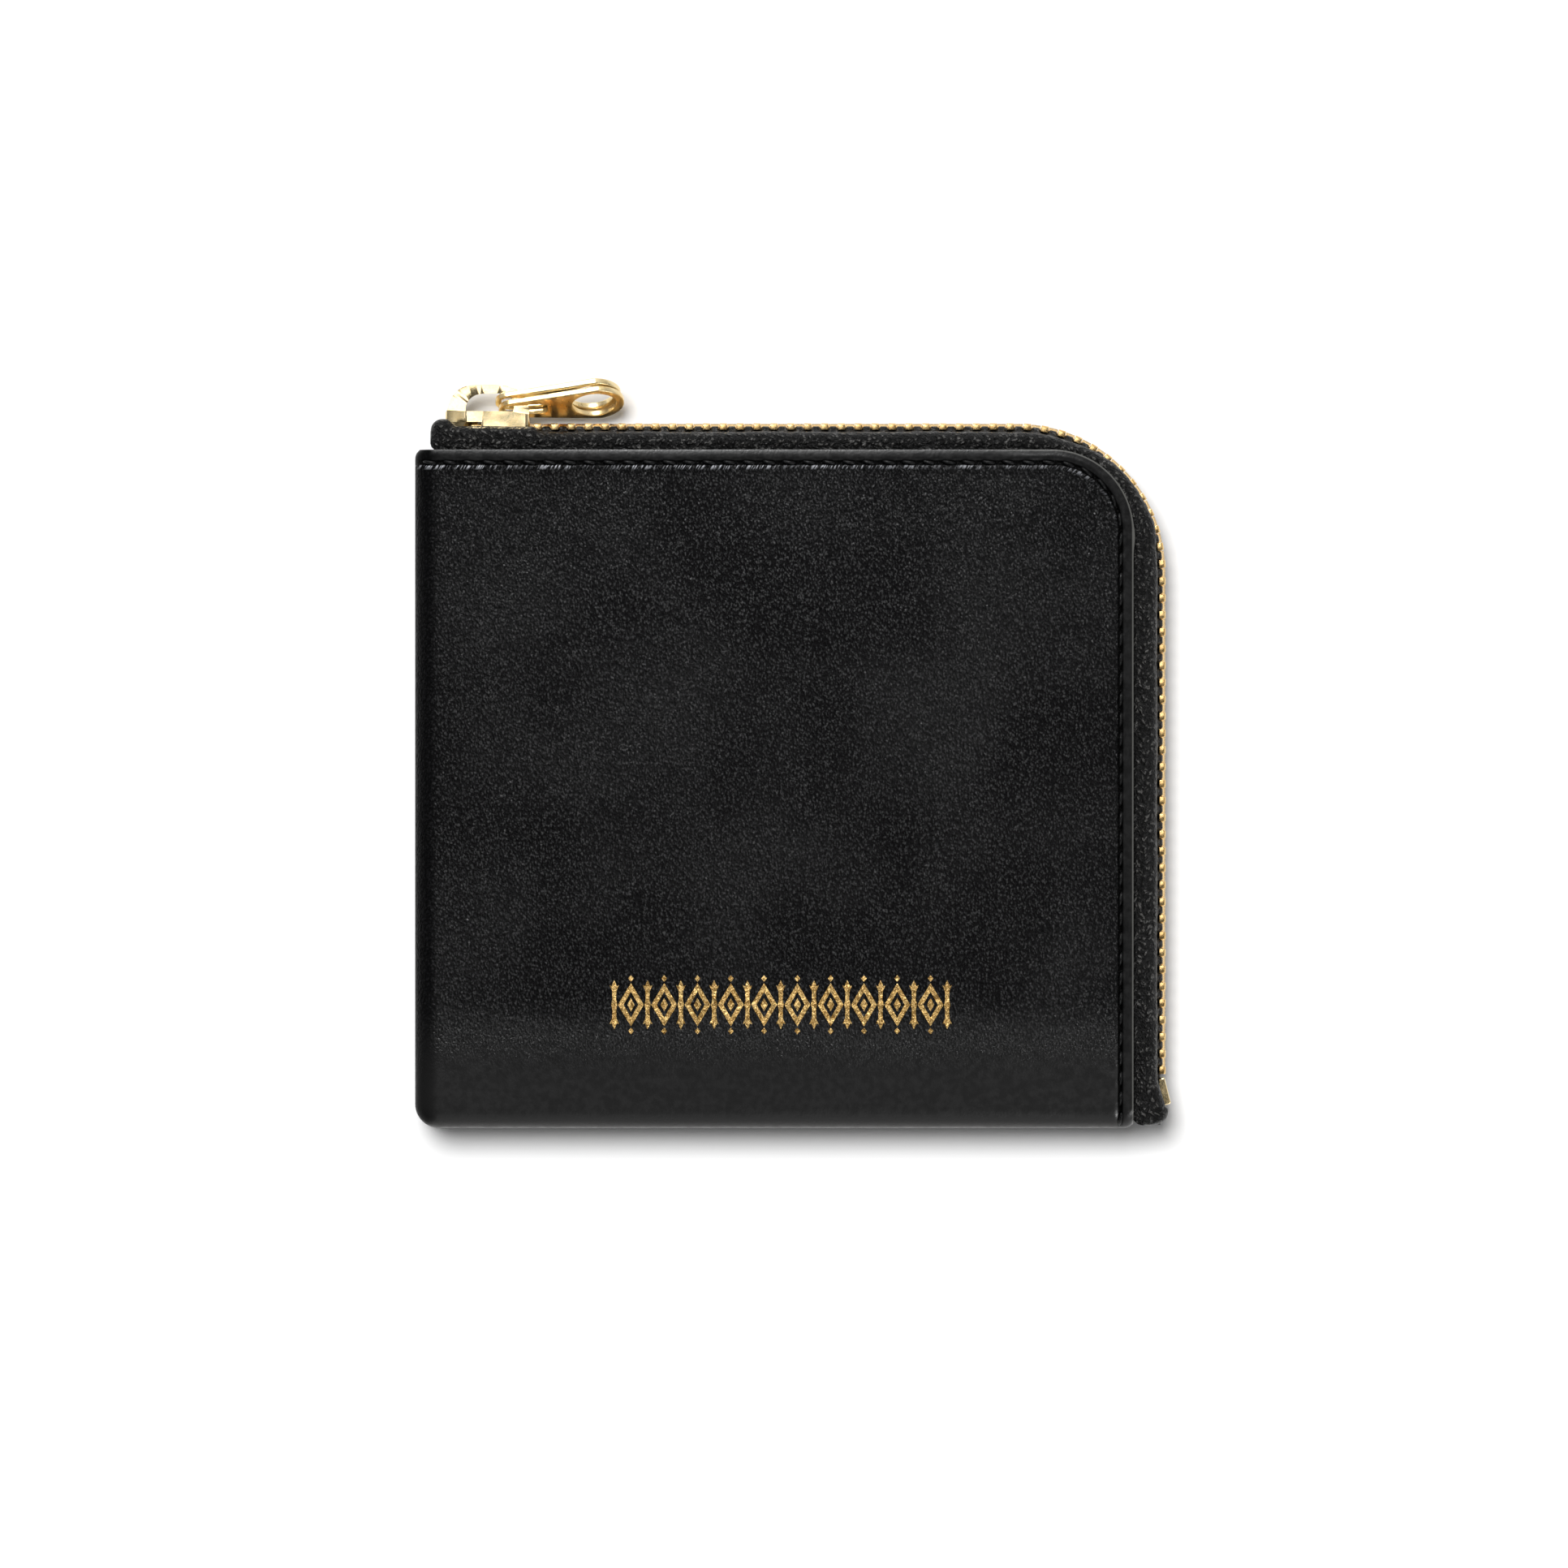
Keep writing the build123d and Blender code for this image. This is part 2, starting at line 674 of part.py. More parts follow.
coin_tape_front = coin_tape("coin_tape_front", 1)
coin_tape_back = coin_tape("coin_tape_back", -1)
coin_tooth = tooth_solid(0.85, COIN_HALF_DEPTH, 0.5, COIN_LEGS, COIN_BEAD, COIN_BEAD_DEPTH, COIN_TAPE)
coin_count = int((COIN_LAST - COIN_FIRST) / COIN_PITCH)
coin_places = [Location((COIN_FIRST + i * COIN_PITCH, COIN_CHAIN_Y, COIN_MIDDLE)) for i in range(coin_count)]
half_step = Pos(COIN_PITCH / 2, 0, 0)
coin_teeth_front = placed("coin_teeth_front", coin_tooth, coin_places)
coin_back_places = [half_step * place * other_face for place in coin_places]
coin_teeth_back = placed("coin_teeth_back", coin_tooth, coin_back_places)

COIN = SliderSize(
    nose=-45.5,
    length=8.6,
    chain_y=COIN_CHAIN_Y,
    middle=COIN_MIDDLE,
    cavity=1.05,
    half_width=3.0,
    wing=0.8,
    crown=3.1,
    bridge=1.6,
    window=2.2,
)
coin_slider = zip_slider("coin_slider", COIN, flange=0.6, slot_half=0.4, lower_wing=0.6)
coin_pull_tab = pull_tab(
    "coin_pull_tab",
    tab_plane(COIN, 0, 0, 1.5, 0),
    ring_at=9.6,
    ring=2.3,
    hole=1.3,
    end_half=2.0,
    slot_half=1.1,
    slot_end=4.6,
    thick=0.9,
    thin=0.8,
    rim=0.2,
)
coin_end_stop = clamp_stop(
    "coin_end_stop",
    Location((COIN_LAST + 1.2, COIN_CHAIN_Y, COIN_MIDDLE)),
    1.8,
    thick=COIN_HALF_DEPTH * 2,
    reach=COIN_LEGS,
    offset=0,
    tilt=0,
    bead=COIN_BEAD,
    bead_depth=COIN_BEAD_DEPTH,
    tape=COIN_TAPE,
)

# ---------------------------------------------------------------- stitching and foil ornament
STITCH_RADIUS = CORNER_ZIP - STITCH_INSET
STITCH_LONG = 2.3
STITCH_THICK = 0.5


def stitch_location(along, height):
    """Where a stitch lies a given length after the seam's start at the left edge."""
    top_run = RIGHT - CORNER_ZIP - LEFT
    bend = STITCH_RADIUS * math.pi / 2
    if along < top_run:
        return Location((LEFT + along, TOP - STITCH_INSET, height))
    if along < top_run + bend:
        turn = (along - top_run) / STITCH_RADIUS
        x = RIGHT - CORNER_ZIP + STITCH_RADIUS * math.sin(turn)
        y = TOP - CORNER_ZIP + STITCH_RADIUS * math.cos(turn)
        return Location((x, y, height), (0, 0, -math.degrees(turn)))
    return Location((RIGHT - STITCH_INSET, TOP - CORNER_ZIP - (along - top_run - bend), height), (0, 0, -90))


with BuildPart() as stitch:
    with BuildSketch():
        SlotOverall(STITCH_LONG, STITCH_THICK)
    extrude(amount=0.2)
seam_length = (RIGHT - CORNER_ZIP - LEFT) + STITCH_RADIUS * math.pi / 2 + (TOP - CORNER_ZIP - BOTTOM)
stitch_count = int((seam_length - 1) / STITCH_PITCH)
lip_stitch_span = (LIP_LEFT - LEFT, LIP_RIGHT - LEFT)
alongs = [STITCH_PITCH * (i + 0.75) for i in range(stitch_count)]
on_lip = [a for a in alongs if lip_stitch_span[0] < a < lip_stitch_span[1]]
off_lip = [a for a in alongs if a not in on_lip]
front_stitching = placed("front_stitching", stitch.part, [stitch_location(a, DEPTH + GAP) for a in off_lip])
lip_stitching = placed("lip_stitching", stitch.part, [stitch_location(a, DEPTH + GAP) for a in on_lip])

FOIL_STEP = 5.0
FOIL_LOZENGE = 2.4
foil_count = int(FOIL_LENGTH / FOIL_STEP)
with BuildPart() as foil_ornament:
    with BuildSketch(Plane.XY.offset(DEPTH + GAP)):
        with Locations((FOIL_X, FOIL_Y)):
            with GridLocations(FOIL_STEP, 1, foil_count, 1):
                RegularPolygon(FOIL_LOZENGE, 4)
    extrude(amount=FOIL)
foil_ornament.part.label = "foil_ornament"

PIECES = [
    back_panel,
    front_panel,
    front_lip,
    back_lining,
    front_lining,
    front_lip_lining,
    front_zip_tape,
    back_zip_tape,
    front_teeth,
    back_teeth,
    front_top_stop,
    back_top_stop,
    bottom_stop,
    slider,
    pull_tab_outer,
    pull_tab_inner,
    card_backing,
    *card_slots,
    slip_pocket,
    coin_pocket_back,
    coin_pocket_front,
    coin_pocket_gusset,
    coin_tape_front,
    coin_tape_back,
    coin_teeth_front,
    coin_teeth_back,
    coin_slider,
    coin_pull_tab,
    coin_end_stop,
    front_stitching,
    lip_stitching,
    foil_ornament,
]

os.makedirs("parts", exist_ok=True)
for piece in PIECES:
    export_step(piece.part, f"parts/{piece.part.label}.step")
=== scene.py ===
"""Looks of the zip around wallet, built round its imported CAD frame.

Shapes are worked out in millimetres in the CAD's frame (+X along the zipped top edge, +Y up the wallet,
+Z out of the front face) and written to meshes in metres.
"""

import json
import math

import bmesh
import bpy
import numpy as np
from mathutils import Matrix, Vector

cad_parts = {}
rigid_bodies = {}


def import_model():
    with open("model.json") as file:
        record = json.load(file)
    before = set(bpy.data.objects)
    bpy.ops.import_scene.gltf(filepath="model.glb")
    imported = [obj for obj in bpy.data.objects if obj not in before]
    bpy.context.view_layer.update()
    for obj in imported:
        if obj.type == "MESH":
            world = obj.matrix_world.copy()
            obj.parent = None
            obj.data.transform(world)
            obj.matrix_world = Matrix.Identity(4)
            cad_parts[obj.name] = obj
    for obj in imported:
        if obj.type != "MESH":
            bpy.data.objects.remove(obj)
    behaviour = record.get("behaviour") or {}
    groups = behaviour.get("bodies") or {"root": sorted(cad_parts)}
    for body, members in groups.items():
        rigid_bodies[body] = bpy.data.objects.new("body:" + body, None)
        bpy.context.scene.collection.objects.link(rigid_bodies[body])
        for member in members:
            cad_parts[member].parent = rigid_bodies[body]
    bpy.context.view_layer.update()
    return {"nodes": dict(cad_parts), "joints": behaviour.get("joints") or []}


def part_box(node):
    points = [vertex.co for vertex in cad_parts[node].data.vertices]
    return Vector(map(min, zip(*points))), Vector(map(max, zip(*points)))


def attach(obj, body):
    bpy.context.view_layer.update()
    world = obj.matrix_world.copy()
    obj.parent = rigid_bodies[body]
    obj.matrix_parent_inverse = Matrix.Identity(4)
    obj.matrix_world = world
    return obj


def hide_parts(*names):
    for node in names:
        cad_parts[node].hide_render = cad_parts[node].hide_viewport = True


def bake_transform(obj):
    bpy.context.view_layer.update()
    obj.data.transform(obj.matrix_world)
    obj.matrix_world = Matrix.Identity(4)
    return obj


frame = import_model()
NODES = frame["nodes"]
MM = 0.001


def box_mm(node):
    """Lowest and highest corner of a CAD node, in millimetres."""
    low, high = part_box(node)
    return np.array(low) / MM, np.array(high) / MM


# ---------------------------------------------------------------- sizes taken from the frame
BACK_BOX = box_mm("back_panel")
FRONT_BOX = box_mm("front_panel")
LEFT, BOTTOM = BACK_BOX[0][0], BACK_BOX[0][1]
RIGHT, TOP = BACK_BOX[1][0], BACK_BOX[1][1]
DEPTH = FRONT_BOX[1][2]
MIDDLE = DEPTH / 2
LEATHER = 1.3  # thickness of the outer leather
LINING = 0.55  # thickness of the linings
ROLL = 3.0  # radius of the fold and of the turned seam
CORNER = 12.2  # radius of the leather's zipped corner
SEAM_CORNER = 0.6  # radius where the fold meets the seam
CLOSED_END = 1.6  # length over which a closed side narrows at the zip
CROWN = 1.7  # rise of the front face in the middle
GRAIN_DEPTH = 0.20
STITCH_INSET = 1.95
STITCH_PITCH = 3.0
FIRST_STITCH = 2.25

TOOTH_REACH = 1.3
TOOTH_PITCH = 2.54
BACK_TOOTH_SPREAD = 1.27  # how much wider a back tooth is than its CAD shape, to close the chain
CHAIN_Y = box_mm("front_teeth")[1][1] - TOOTH_REACH
CHAIN_X = box_mm("front_teeth")[1][0] - TOOTH_REACH
CHAIN_CORNER = 21.0
TAPE_START = box_mm("front_zip_tape")[0][0]
TAPE_END = BOTTOM + 0.42
TAPE_TUCK = 7.6  # how far a tape reaches under the leather
FIRST_TOOTH = box_mm("front_teeth")[0][0] + 0.55
TOP_RUN = CHAIN_X - CHAIN_CORNER - TAPE_START
ARC_RUN = CHAIN_CORNER * math.pi / 2
TAPE_LENGTH = TOP_RUN + ARC_RUN + (CHAIN_Y - CHAIN_CORNER - TAPE_END)
FOIL_LIFT = 0.05

JOINTS = {joint["name"]: joint for joint in frame["joints"]}
FOLD_Y = JOINTS["lip_opening"]["pos_m"][1] / MM
SLIDER_NOSE = box_mm("slider")[0][0]
MOUTH_LEFT = SLIDER_NOSE + 2.5
MOUTH_RIGHT = SLIDER_NOSE + JOINTS["slider_travel"]["range_m"][1] / MM - 1.5
MOUTH_SLOPE = 30  # length over which the mouth opens from each end
LIP_BEND = (-2, 46)  # height above the fold line over which the lip bends


def smoothstep(low, high, value):
    """0 below low, 1 above high, and a smooth rise between; low may be the greater one."""
    t = np.clip((value - low) / (high - low), 0, 1)
    return t * t * (3 - 2 * t)


def bell(value, centre, width):
    """A bell curve that peaks at 1."""
    return np.exp(-(((value - centre) / width) ** 2))


# ---------------------------------------------------------------- mesh helpers
def new_object(name, points_mm, faces, materials, smooth=True):
    """A mesh object from points in millimetres."""
    mesh = bpy.data.meshes.new(name)
    mesh.from_pydata([tuple(p) for p in np.asarray(points_mm, float) * MM], [], faces)
    mesh.update()
    obj = bpy.data.objects.new(name, mesh)
    bpy.context.scene.collection.objects.link(obj)
    for material in materials:
        mesh.materials.append(material)
    mesh.polygons.foreach_set("use_smooth", [smooth] * len(mesh.polygons))
    return obj


def grid_faces(rows, columns, wrap=False, first=0):
    """Quads of a grid whose points are listed row by row; wrap closes each row into a loop."""
    faces = []
    for r in range(rows - 1):
        here, after = first + r * columns, first + (r + 1) * columns
        for c in range(columns if wrap else columns - 1):
            c2 = (c + 1) % columns
            faces.append((here + c, here + c2, after + c2, after + c))
    return faces


def swept_faces(rows, columns):
    """Faces of a closed section swept along rows of points, with both ends capped."""
    caps = [tuple(range(columns)), tuple((rows - 1) * columns + c for c in range(columns))[::-1]]
    return grid_faces(rows, columns, wrap=True) + caps


def running_length(points):
    """Length along a line of points, at each of them."""
    return np.concatenate([[0], np.cumsum(np.linalg.norm(np.diff(points, axis=0), axis=1))])


def write_uv(obj, name, per_vertex):
    """A UV layer that holds one pair of numbers per vertex."""
    layer = obj.data.uv_layers.new(name=name)
    index = np.zeros(len(obj.data.loops), int)
    obj.data.loops.foreach_get("vertex_index", index)
    layer.data.foreach_set("uv", np.asarray(per_vertex, float)[index].ravel())


def modifier(obj, kind, name, **settings):
    """Adds a modifier with the given settings."""
    made = obj.modifiers.new(name, kind)
    for key, value in settings.items():
        setattr(made, key, value)
    return made


def stand_for(obj, slot, *nodes):
    """Takes the place of CAD nodes by hiding them; the slot is not used."""
    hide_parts(*nodes)


def thicken(obj, thickness, offset=-1.0, rim=0):
    """Gives a sheet its thickness; rim is the number of its edges' material."""
    modifier(obj, "SOLIDIFY", "thickness", thickness=thickness * MM, offset=offset, material_offset_rim=rim)


def bevel(obj, width, degrees, segments=3, **settings):
    """Rounds the edges that are sharper than an angle."""
    settings.update(width=width * MM, segments=segments, angle_limit=math.radians(degrees))
    modifier(obj, "BEVEL", "edge_round", limit_method="ANGLE", **settings)


def fix_normals(obj):
    """Makes a closed mesh's faces all point outwards."""
    bm = bmesh.new()
    bm.from_mesh(obj.data)
    bmesh.ops.recalc_face_normals(bm, faces=bm.faces)
    bm.to_mesh(obj.data)
    bm.free()


def vertices_mm(obj):
    """A mesh's points, in millimetres."""
    points = np.zeros(len(obj.data.vertices) * 3)
    obj.data.vertices.foreach_get("co", points)
    return points.reshape(-1, 3) / MM


# ---------------------------------------------------------------- how far each point follows the mouth of the wallet
def mouth_share(x, y, z):
    """How far a point follows the front lip: 1 in the middle of the mouth and 0 round it and on the back."""
    opens = smoothstep(MOUTH_LEFT, MOUTH_LEFT + MOUTH_SLOPE, x)
    along = opens * smoothstep(MOUTH_RIGHT, MOUTH_RIGHT - MOUTH_SLOPE, x)
    up = smoothstep(FOLD_Y + LIP_BEND[0], FOLD_Y + LIP_BEND[1], y)
    return along * up * (z > MIDDLE - 0.9)


def gape(obj, share=None):
    """Bakes a piece's placement into its mesh and works out the share of the mouth that each point would follow;
    nothing is bent.
    """
    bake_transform(obj)
    if share is None:
        points = vertices_mm(obj)
        share = mouth_share(points[:, 0], points[:, 1], points[:, 2])


# ---------------------------------------------------------------- shader helpers
class Shader:
    """Short names for building one material's nodes."""

    def __init__(self, name):
        self.material = bpy.data.materials.new(name)
        self.material.use_nodes = True
        self.tree = self.material.node_tree
        self.surface = self.tree.nodes["Principled BSDF"]

    def node(self, kind, inputs=None, **settings):
        """Adds a node with the given settings and inputs."""
        made = self.tree.nodes.new(kind)
        for key, value in settings.items():
            setattr(made, key, value)
        for key, value in (inputs or {}).items():
            self.put(made.inputs[key], value)
        return made

    def put(self, socket, value):
        """Gives a socket its value, or a link from another node."""
        if isinstance(value, bpy.types.NodeSocket):
            self.tree.links.new(value, socket)
        else:
            socket.default_value = value

    def place(self):
        return self.node("ShaderNodeTexCoord").outputs["Object"]

    def noise(self, place, scale, detail=2.0, roughness=0.5, distortion=0.0):
        inputs = {"Vector": place, "Scale": scale, "Detail": detail, "Roughness": roughness}
        return self.node("ShaderNodeTexNoise", inputs | {"Distortion": distortion}).outputs["Fac"]

    def cells(self, place, scale):
        return self.node("ShaderNodeTexVoronoi", {"Vector": place, "Scale": scale}).outputs["Distance"]

    def math(self, operation, a, b=0.0):
        made = self.node("ShaderNodeMath", operation=operation)
        self.put(made.inputs[0], a)
        self.put(made.inputs[1], b)
        return made.outputs[0]

    def product(self, *values):
        """All the values multiplied, from left to right."""
        result = values[0]
        for value in values[1:]:
            result = self.math("MULTIPLY", result, value)
        return result

    def ramp(self, value, low, high, out_low=0.0, out_high=1.0):
        """A smooth rise from out_low to out_high as the value goes from low to high."""
        inputs = {"Value": value, "From Min": low, "From Max": high, "To Min": out_low, "To Max": out_high}
        return self.node("ShaderNodeMapRange", inputs, interpolation_type="SMOOTHSTEP").outputs["Result"]

    def mix(self, share, a, b):
        """Colour a where the share is 0 and colour b where it is 1."""
        made = self.node("ShaderNodeMix", data_type="RGBA")
        self.put(made.inputs["Factor"], share)
        self.put(made.inputs[6], a)
        self.put(made.inputs[7], b)
        return made.outputs[2]

    def bump(self, height, distance_mm, normal=None):
        """Relief whose height of 1 stands for a distance, on top of another relief if given."""
        made = self.node("ShaderNodeBump", {"Height": height, "Distance": distance_mm * MM, "Strength": 1.0})
        if normal is not None:
            self.put(made.inputs["Normal"], normal)
        return made.outputs["Normal"]

    def split(self, vector):
        made = self.node("ShaderNodeSeparateXYZ", {"Vector": vector})
        return made.outputs["X"], made.outputs["Y"], made.outputs["Z"]

    def finish(self, **inputs):
        """Sets the surface's inputs, named with underscores, and returns the material."""
        for key, value in inputs.items():
            self.put(self.surface.inputs[key.replace("_", " ")], value)
        return self.material


def grey(value, tint=(1.0, 1.0, 1.0)):
    """A grey, or a shade near it when tinted."""
    return (value * tint[0], value * tint[1], value * tint[2], 1.0)


# ---------------------------------------------------------------- materials
def leather_material():
    """Black leather: fine pebbled grain that fades near the bottom, and creases along the topstitching with
    painted highlights on them.
    """
    s = Shader("grained_leather")
    place = s.place()
    x, y, z = s.split(place)
    edge = s.node("ShaderNodeUVMap", uv_map="edge").outputs["UV"]
    along, inset, _ = s.split(edge)
    patches = s.noise(place, 48.0, 2.0)
    # along and inset are lengths in metres along the zipped edge's seam and in from that edge
    low_part = s.ramp(y, (BOTTOM + 6) * MM, (BOTTOM + 20) * MM)
    upper = s.ramp(y, (TOP - 8) * MM, (TOP - 38) * MM, 0.62, 1.0)
    margin = s.ramp(inset, 0.0015, 0.0021)
    body = s.product(s.ramp(patches, 0.3, 0.66, 0.8, 1.0), s.product(low_part, margin))
    strength = s.math("ADD", s.product(body, upper, 0.95), 0.05)

    # pebbled grain, pressed deeper in patches
    slanted = {"Vector": place, "Rotation": (0, 0, 0.6), "Scale": (1.0, 0.72, 1.0)}
    pores = s.node("ShaderNodeMapping", slanted).outputs["Vector"]
    pebble = s.cells(pores, 2800.0)
    creases = s.noise(pores, 3300.0, 2.0, 0.6, 0.5)
    grain = s.math("ADD", s.product(pebble, -0.9), s.product(creases, 1.7))
    grain_normal = s.bump(s.product(grain, strength), GRAIN_DEPTH)

    # creases drawn out of the topstitching, which fade round the corner
    slant = s.math("ADD", s.product(along, 2600.0), s.product(inset, 1500.0))
    wave_place = s.node("ShaderNodeCombineXYZ", {"X": slant, "Y": s.product(inset, 420.0), "Z": 0.0})
    wrinkles = s.noise(wave_place.outputs["Vector"], 1.0, 2.0, 0.5, 0.4)
    near = s.product(
        s.ramp(inset, 0.0021, 0.0023),
        s.ramp(inset, 0.0031, 0.0025),
        s.ramp(along, 0.116, 0.092),
        s.ramp(along, 0.085, 0.02, 0.5, 1.0),
    )
    normal = s.bump(s.product(wrinkles, near), 0.4, grain_normal)

    # colour: grain, smooth part, bottom roll with a painted reflection, margin, creases with painted highlights,
    # cut edge with a painted highlight and sewn groove with painted shade
    dark, light = grey(0.0028, (0.97, 0.98, 1.05)), grey(0.0085, (0.97, 0.98, 1.04))
    tone = s.mix(s.ramp(grain, 0.35, 0.85), dark, light)
    tone = s.mix(low_part, grey(0.0112), tone)
    # painted reflection: the bottom roll is lightened and warmed in colour, standing for light it catches from
    # the floor
    roll_floor_reflection = s.ramp(y, (BOTTOM + 1.6) * MM, BOTTOM * MM)
    tone = s.mix(roll_floor_reflection, tone, (0.013, 0.0112, 0.0095, 1.0))
    tone = s.mix(s.ramp(inset, 0.0017, 0.0013, 0.0, 0.5), tone, grey(0.0035))
    # painted highlights: short light strokes on the creases beside the topstitching, standing for light that the
    # creases catch
    glint_breaks = s.ramp(s.noise(place, 260.0, 2.0), 0.36, 0.56, 0.25, 1.0)
    crease_glints = s.product(s.ramp(wrinkles, 0.50, 0.60), near, glint_breaks)
    tone = s.mix(crease_glints, tone, grey(0.55, (0.97, 0.99, 1.06)))
    # painted highlight: a light line along the cut edge over its edge paint, dim along the top and brighter round
    # the corner and down the right side
    rim = s.ramp(along, 0.078, 0.104, 0.007, 0.085)
    painted = s.node("ShaderNodeCombineColor", {"Red": rim, "Green": rim, "Blue": s.product(rim, 0.93)})
    tone = s.mix(s.ramp(inset, 0.00028, 0.00012), tone, painted.outputs["Color"])
    # painted shade: the sewn groove is darkened in colour
    to_seam = s.math("ABSOLUTE", s.math("SUBTRACT", inset, STITCH_INSET * MM))
    groove = s.ramp(to_seam, 0.00052, 0.00028)
    tone = s.mix(groove, tone, grey(0.0008))
    # gloss: dull in the grain's dips; reflection taken away as painted shade on the fold at the left, on the
    # closed sides, in the sewn groove, along the edges and on the bottom roll
    dip = s.ramp(grain, 0.30, 0.95, 0.08, 1.0)
    sheen = s.mix(body, grey(1.0), s.mix(dip, grey(0.0), grey(1.0)))
    at_fold = s.ramp(x, (LEFT + 4.0) * MM, (LEFT + 1.2) * MM)
    shaded = s.math("MAXIMUM", at_fold, s.ramp(z, 12.5 * MM, 10.5 * MM))
    sheen = s.mix(s.math("MAXIMUM", groove, shaded), sheen, grey(0.05))
    rough = s.ramp(s.noise(place, 900.0, 2.0), 0.3, 0.7, 0.30, 0.40)
    # painted shade: less reflection on the bottom roll and along the cut edges
    roll_reflection_shade = s.ramp(y, (BOTTOM + 2.6) * MM, BOTTOM * MM, 0.0, 0.42)
    reflection_shade = s.math("MAXIMUM", s.ramp(inset, 0.0009, 0.0002, 0.0, 0.30), roll_reflection_shade)
    ior = s.ramp(s.math("MAXIMUM", shaded, reflection_shade), 0.0, 1.0, 1.5, 1.12)
    return s.finish(Base_Color=tone, Roughness=rough, Normal=normal, IOR=ior, Specular_Tint=sheen)


def edge_paint_material():
    """Burnished, painted leather edge, with a painted highlight round the zipped corner and down the right side.
    """
    s = Shader("painted_edge")
    place = s.place()
    streaks = s.noise(place, 800.0, 3.0, 0.6)
    tone = s.mix(streaks, grey(0.045), grey(0.085, (1.0, 0.98, 0.95)))
    x, _, _ = s.split(place)
    # painted highlight: the edge is lighter in colour round the zipped corner and down the right side
    corner_edge_highlight = s.mix(streaks, grey(0.14), grey(0.24, (1.0, 0.98, 0.95)))
    tone = s.mix(s.ramp(x, (RIGHT - CORNER) * MM, (RIGHT - CORNER / 2) * MM), tone, corner_edge_highlight)
    normal = s.bump(streaks, 0.04)
    return s.finish(Base_Color=tone, Roughness=s.ramp(streaks, 0.3, 0.7, 0.26, 0.4), Normal=normal)


def lining_material():
    """Smooth lining leather with a faint, even grain."""
    s = Shader("lining_leather")
    place = s.place()
    grain = s.math("ADD", s.cells(place, 1500.0), s.product(s.noise(place, 2600.0, 3.0), 0.8))
    tone = s.mix(s.noise(place, 120.0, 2.0), grey(0.011), grey(0.017))
    rough = s.ramp(grain, 0.4, 1.2, 0.46, 0.6)
    return s.finish(Base_Color=tone, Roughness=rough, Normal=s.bump(grain, 0.035))


def tape_material():
    """Black woven tape: short slanting yarns packed side by side, with painted highlights on their crests."""
    s = Shader("woven_tape")
    weave = s.node("ShaderNodeUVMap", uv_map="weave").outputs["UV"]
    u, v, _ = s.split(weave)
    rib = 1.1 * MM
    ribs = s.math("PINGPONG", s.product(v, 1.0 / rib), 1.0)
    lean = s.math("ADD", u, s.product(ribs, rib / 2))
    packed = s.node("ShaderNodeCombineXYZ", {"X": s.product(lean, 0.95), "Y": v, "Z": 0.0}).outputs["Vector"]
    yarns = s.cells(packed, 1550.0)
    wander = s.noise(packed, 1450.0, 2.0, 0.6, 1.8)
    height = s.math("ADD", s.product(yarns, -1.0), s.product(wander, 1.5))
    crests = s.ramp(height, 0.38, 0.62)
    # painted highlights: the yarns' crests are lighter in colour, standing for light caught on them
    tone = s.mix(crests, grey(0.0018), grey(0.050, (1.03, 1.0, 0.94)))
    gloss = s.ramp(wander, 0.3, 0.7, 0.32, 0.45)
    sheen = s.mix(crests, grey(0.35), grey(1.0))
    return s.finish(Base_Color=tone, Roughness=gloss, Normal=s.bump(height, 0.30), Specular_Tint=sheen)


def thread_material():
    """Waxed black sewing thread, twisted."""
    s = Shader("black_thread")
    place = s.place()
    twist = s.noise(place, 3800.0, 2.0, 0.5, 1.0)
    tone = s.mix(twist, grey(0.0006), grey(0.003, (0.9, 0.99, 1.1)))
    return s.finish(Base_Color=tone, Roughness=0.4, Normal=s.bump(twist, 0.08), Specular_IOR_Level=0.2)


def gold_material(name, colour, shade, roughness, scratch):
    """Plated metal: a colour that turns to its shade in patches, low waves and fine handling marks."""
    s = Shader(name)
    place = s.place()
    patches = s.noise(place, 420.0, 3.0, 0.6)
    waves = s.bump(s.noise(place, 170.0, 1.0), 0.16)
    marks = s.noise(place, 2600.0, 4.0, 0.7, 0.5)
    tone = s.mix(s.ramp(patches, 0.35, 0.75), colour, shade)
    rough = s.ramp(marks, 0.3, 0.75, roughness * 0.75, roughness * 1.5)
    return s.finish(Base_Color=tone, Metallic=1.0, Roughness=rough, Normal=s.bump(marks, scratch, waves))


def foil_material():
    """Hot-stamped gold foil, crackled where the leather's grain shows through."""
    s = Shader("gold_foil")
    place = s.place()
    crackle = s.noise(place, 1250.0, 3.0, 0.75, 2.0)
    veins = s.math("ABSOLUTE", s.math("SUBTRACT", crackle, 0.5))
    share = s.ramp(veins, 0.03, 0.10)
    tone = s.mix(share, (0.24, 0.125, 0.025, 1), (1.0, 0.71, 0.29, 1))
    return s.finish(Base_Color=tone, Metallic=0.85, Roughness=0.30, Normal=s.bump(crackle, 0.22))


LEATHER_MAT = leather_material()
EDGE_MAT = edge_paint_material()
LINING_MAT = lining_material()
TAPE_MAT = tape_material()
THREAD_MAT = thread_material()
SLIDER_MAT = gold_material("slider_plating", (0.97, 0.79, 0.46, 1), (0.90, 0.69, 0.35, 1), 0.15, 0.002)
TAB_MAT = gold_material("tab_plating", (0.86, 0.71, 0.42, 1), (0.74, 0.57, 0.28, 1), 0.34, 0.002)
TOOTH_MAT = gold_material("tooth_plating", (0.93, 0.66, 0.30, 1), (0.80, 0.51, 0.20, 1), 0.24, 0.004)
FOIL_MAT = foil_material()
METALS = (SLIDER_MAT, TAB_MAT, TOOTH_MAT, FOIL_MAT)


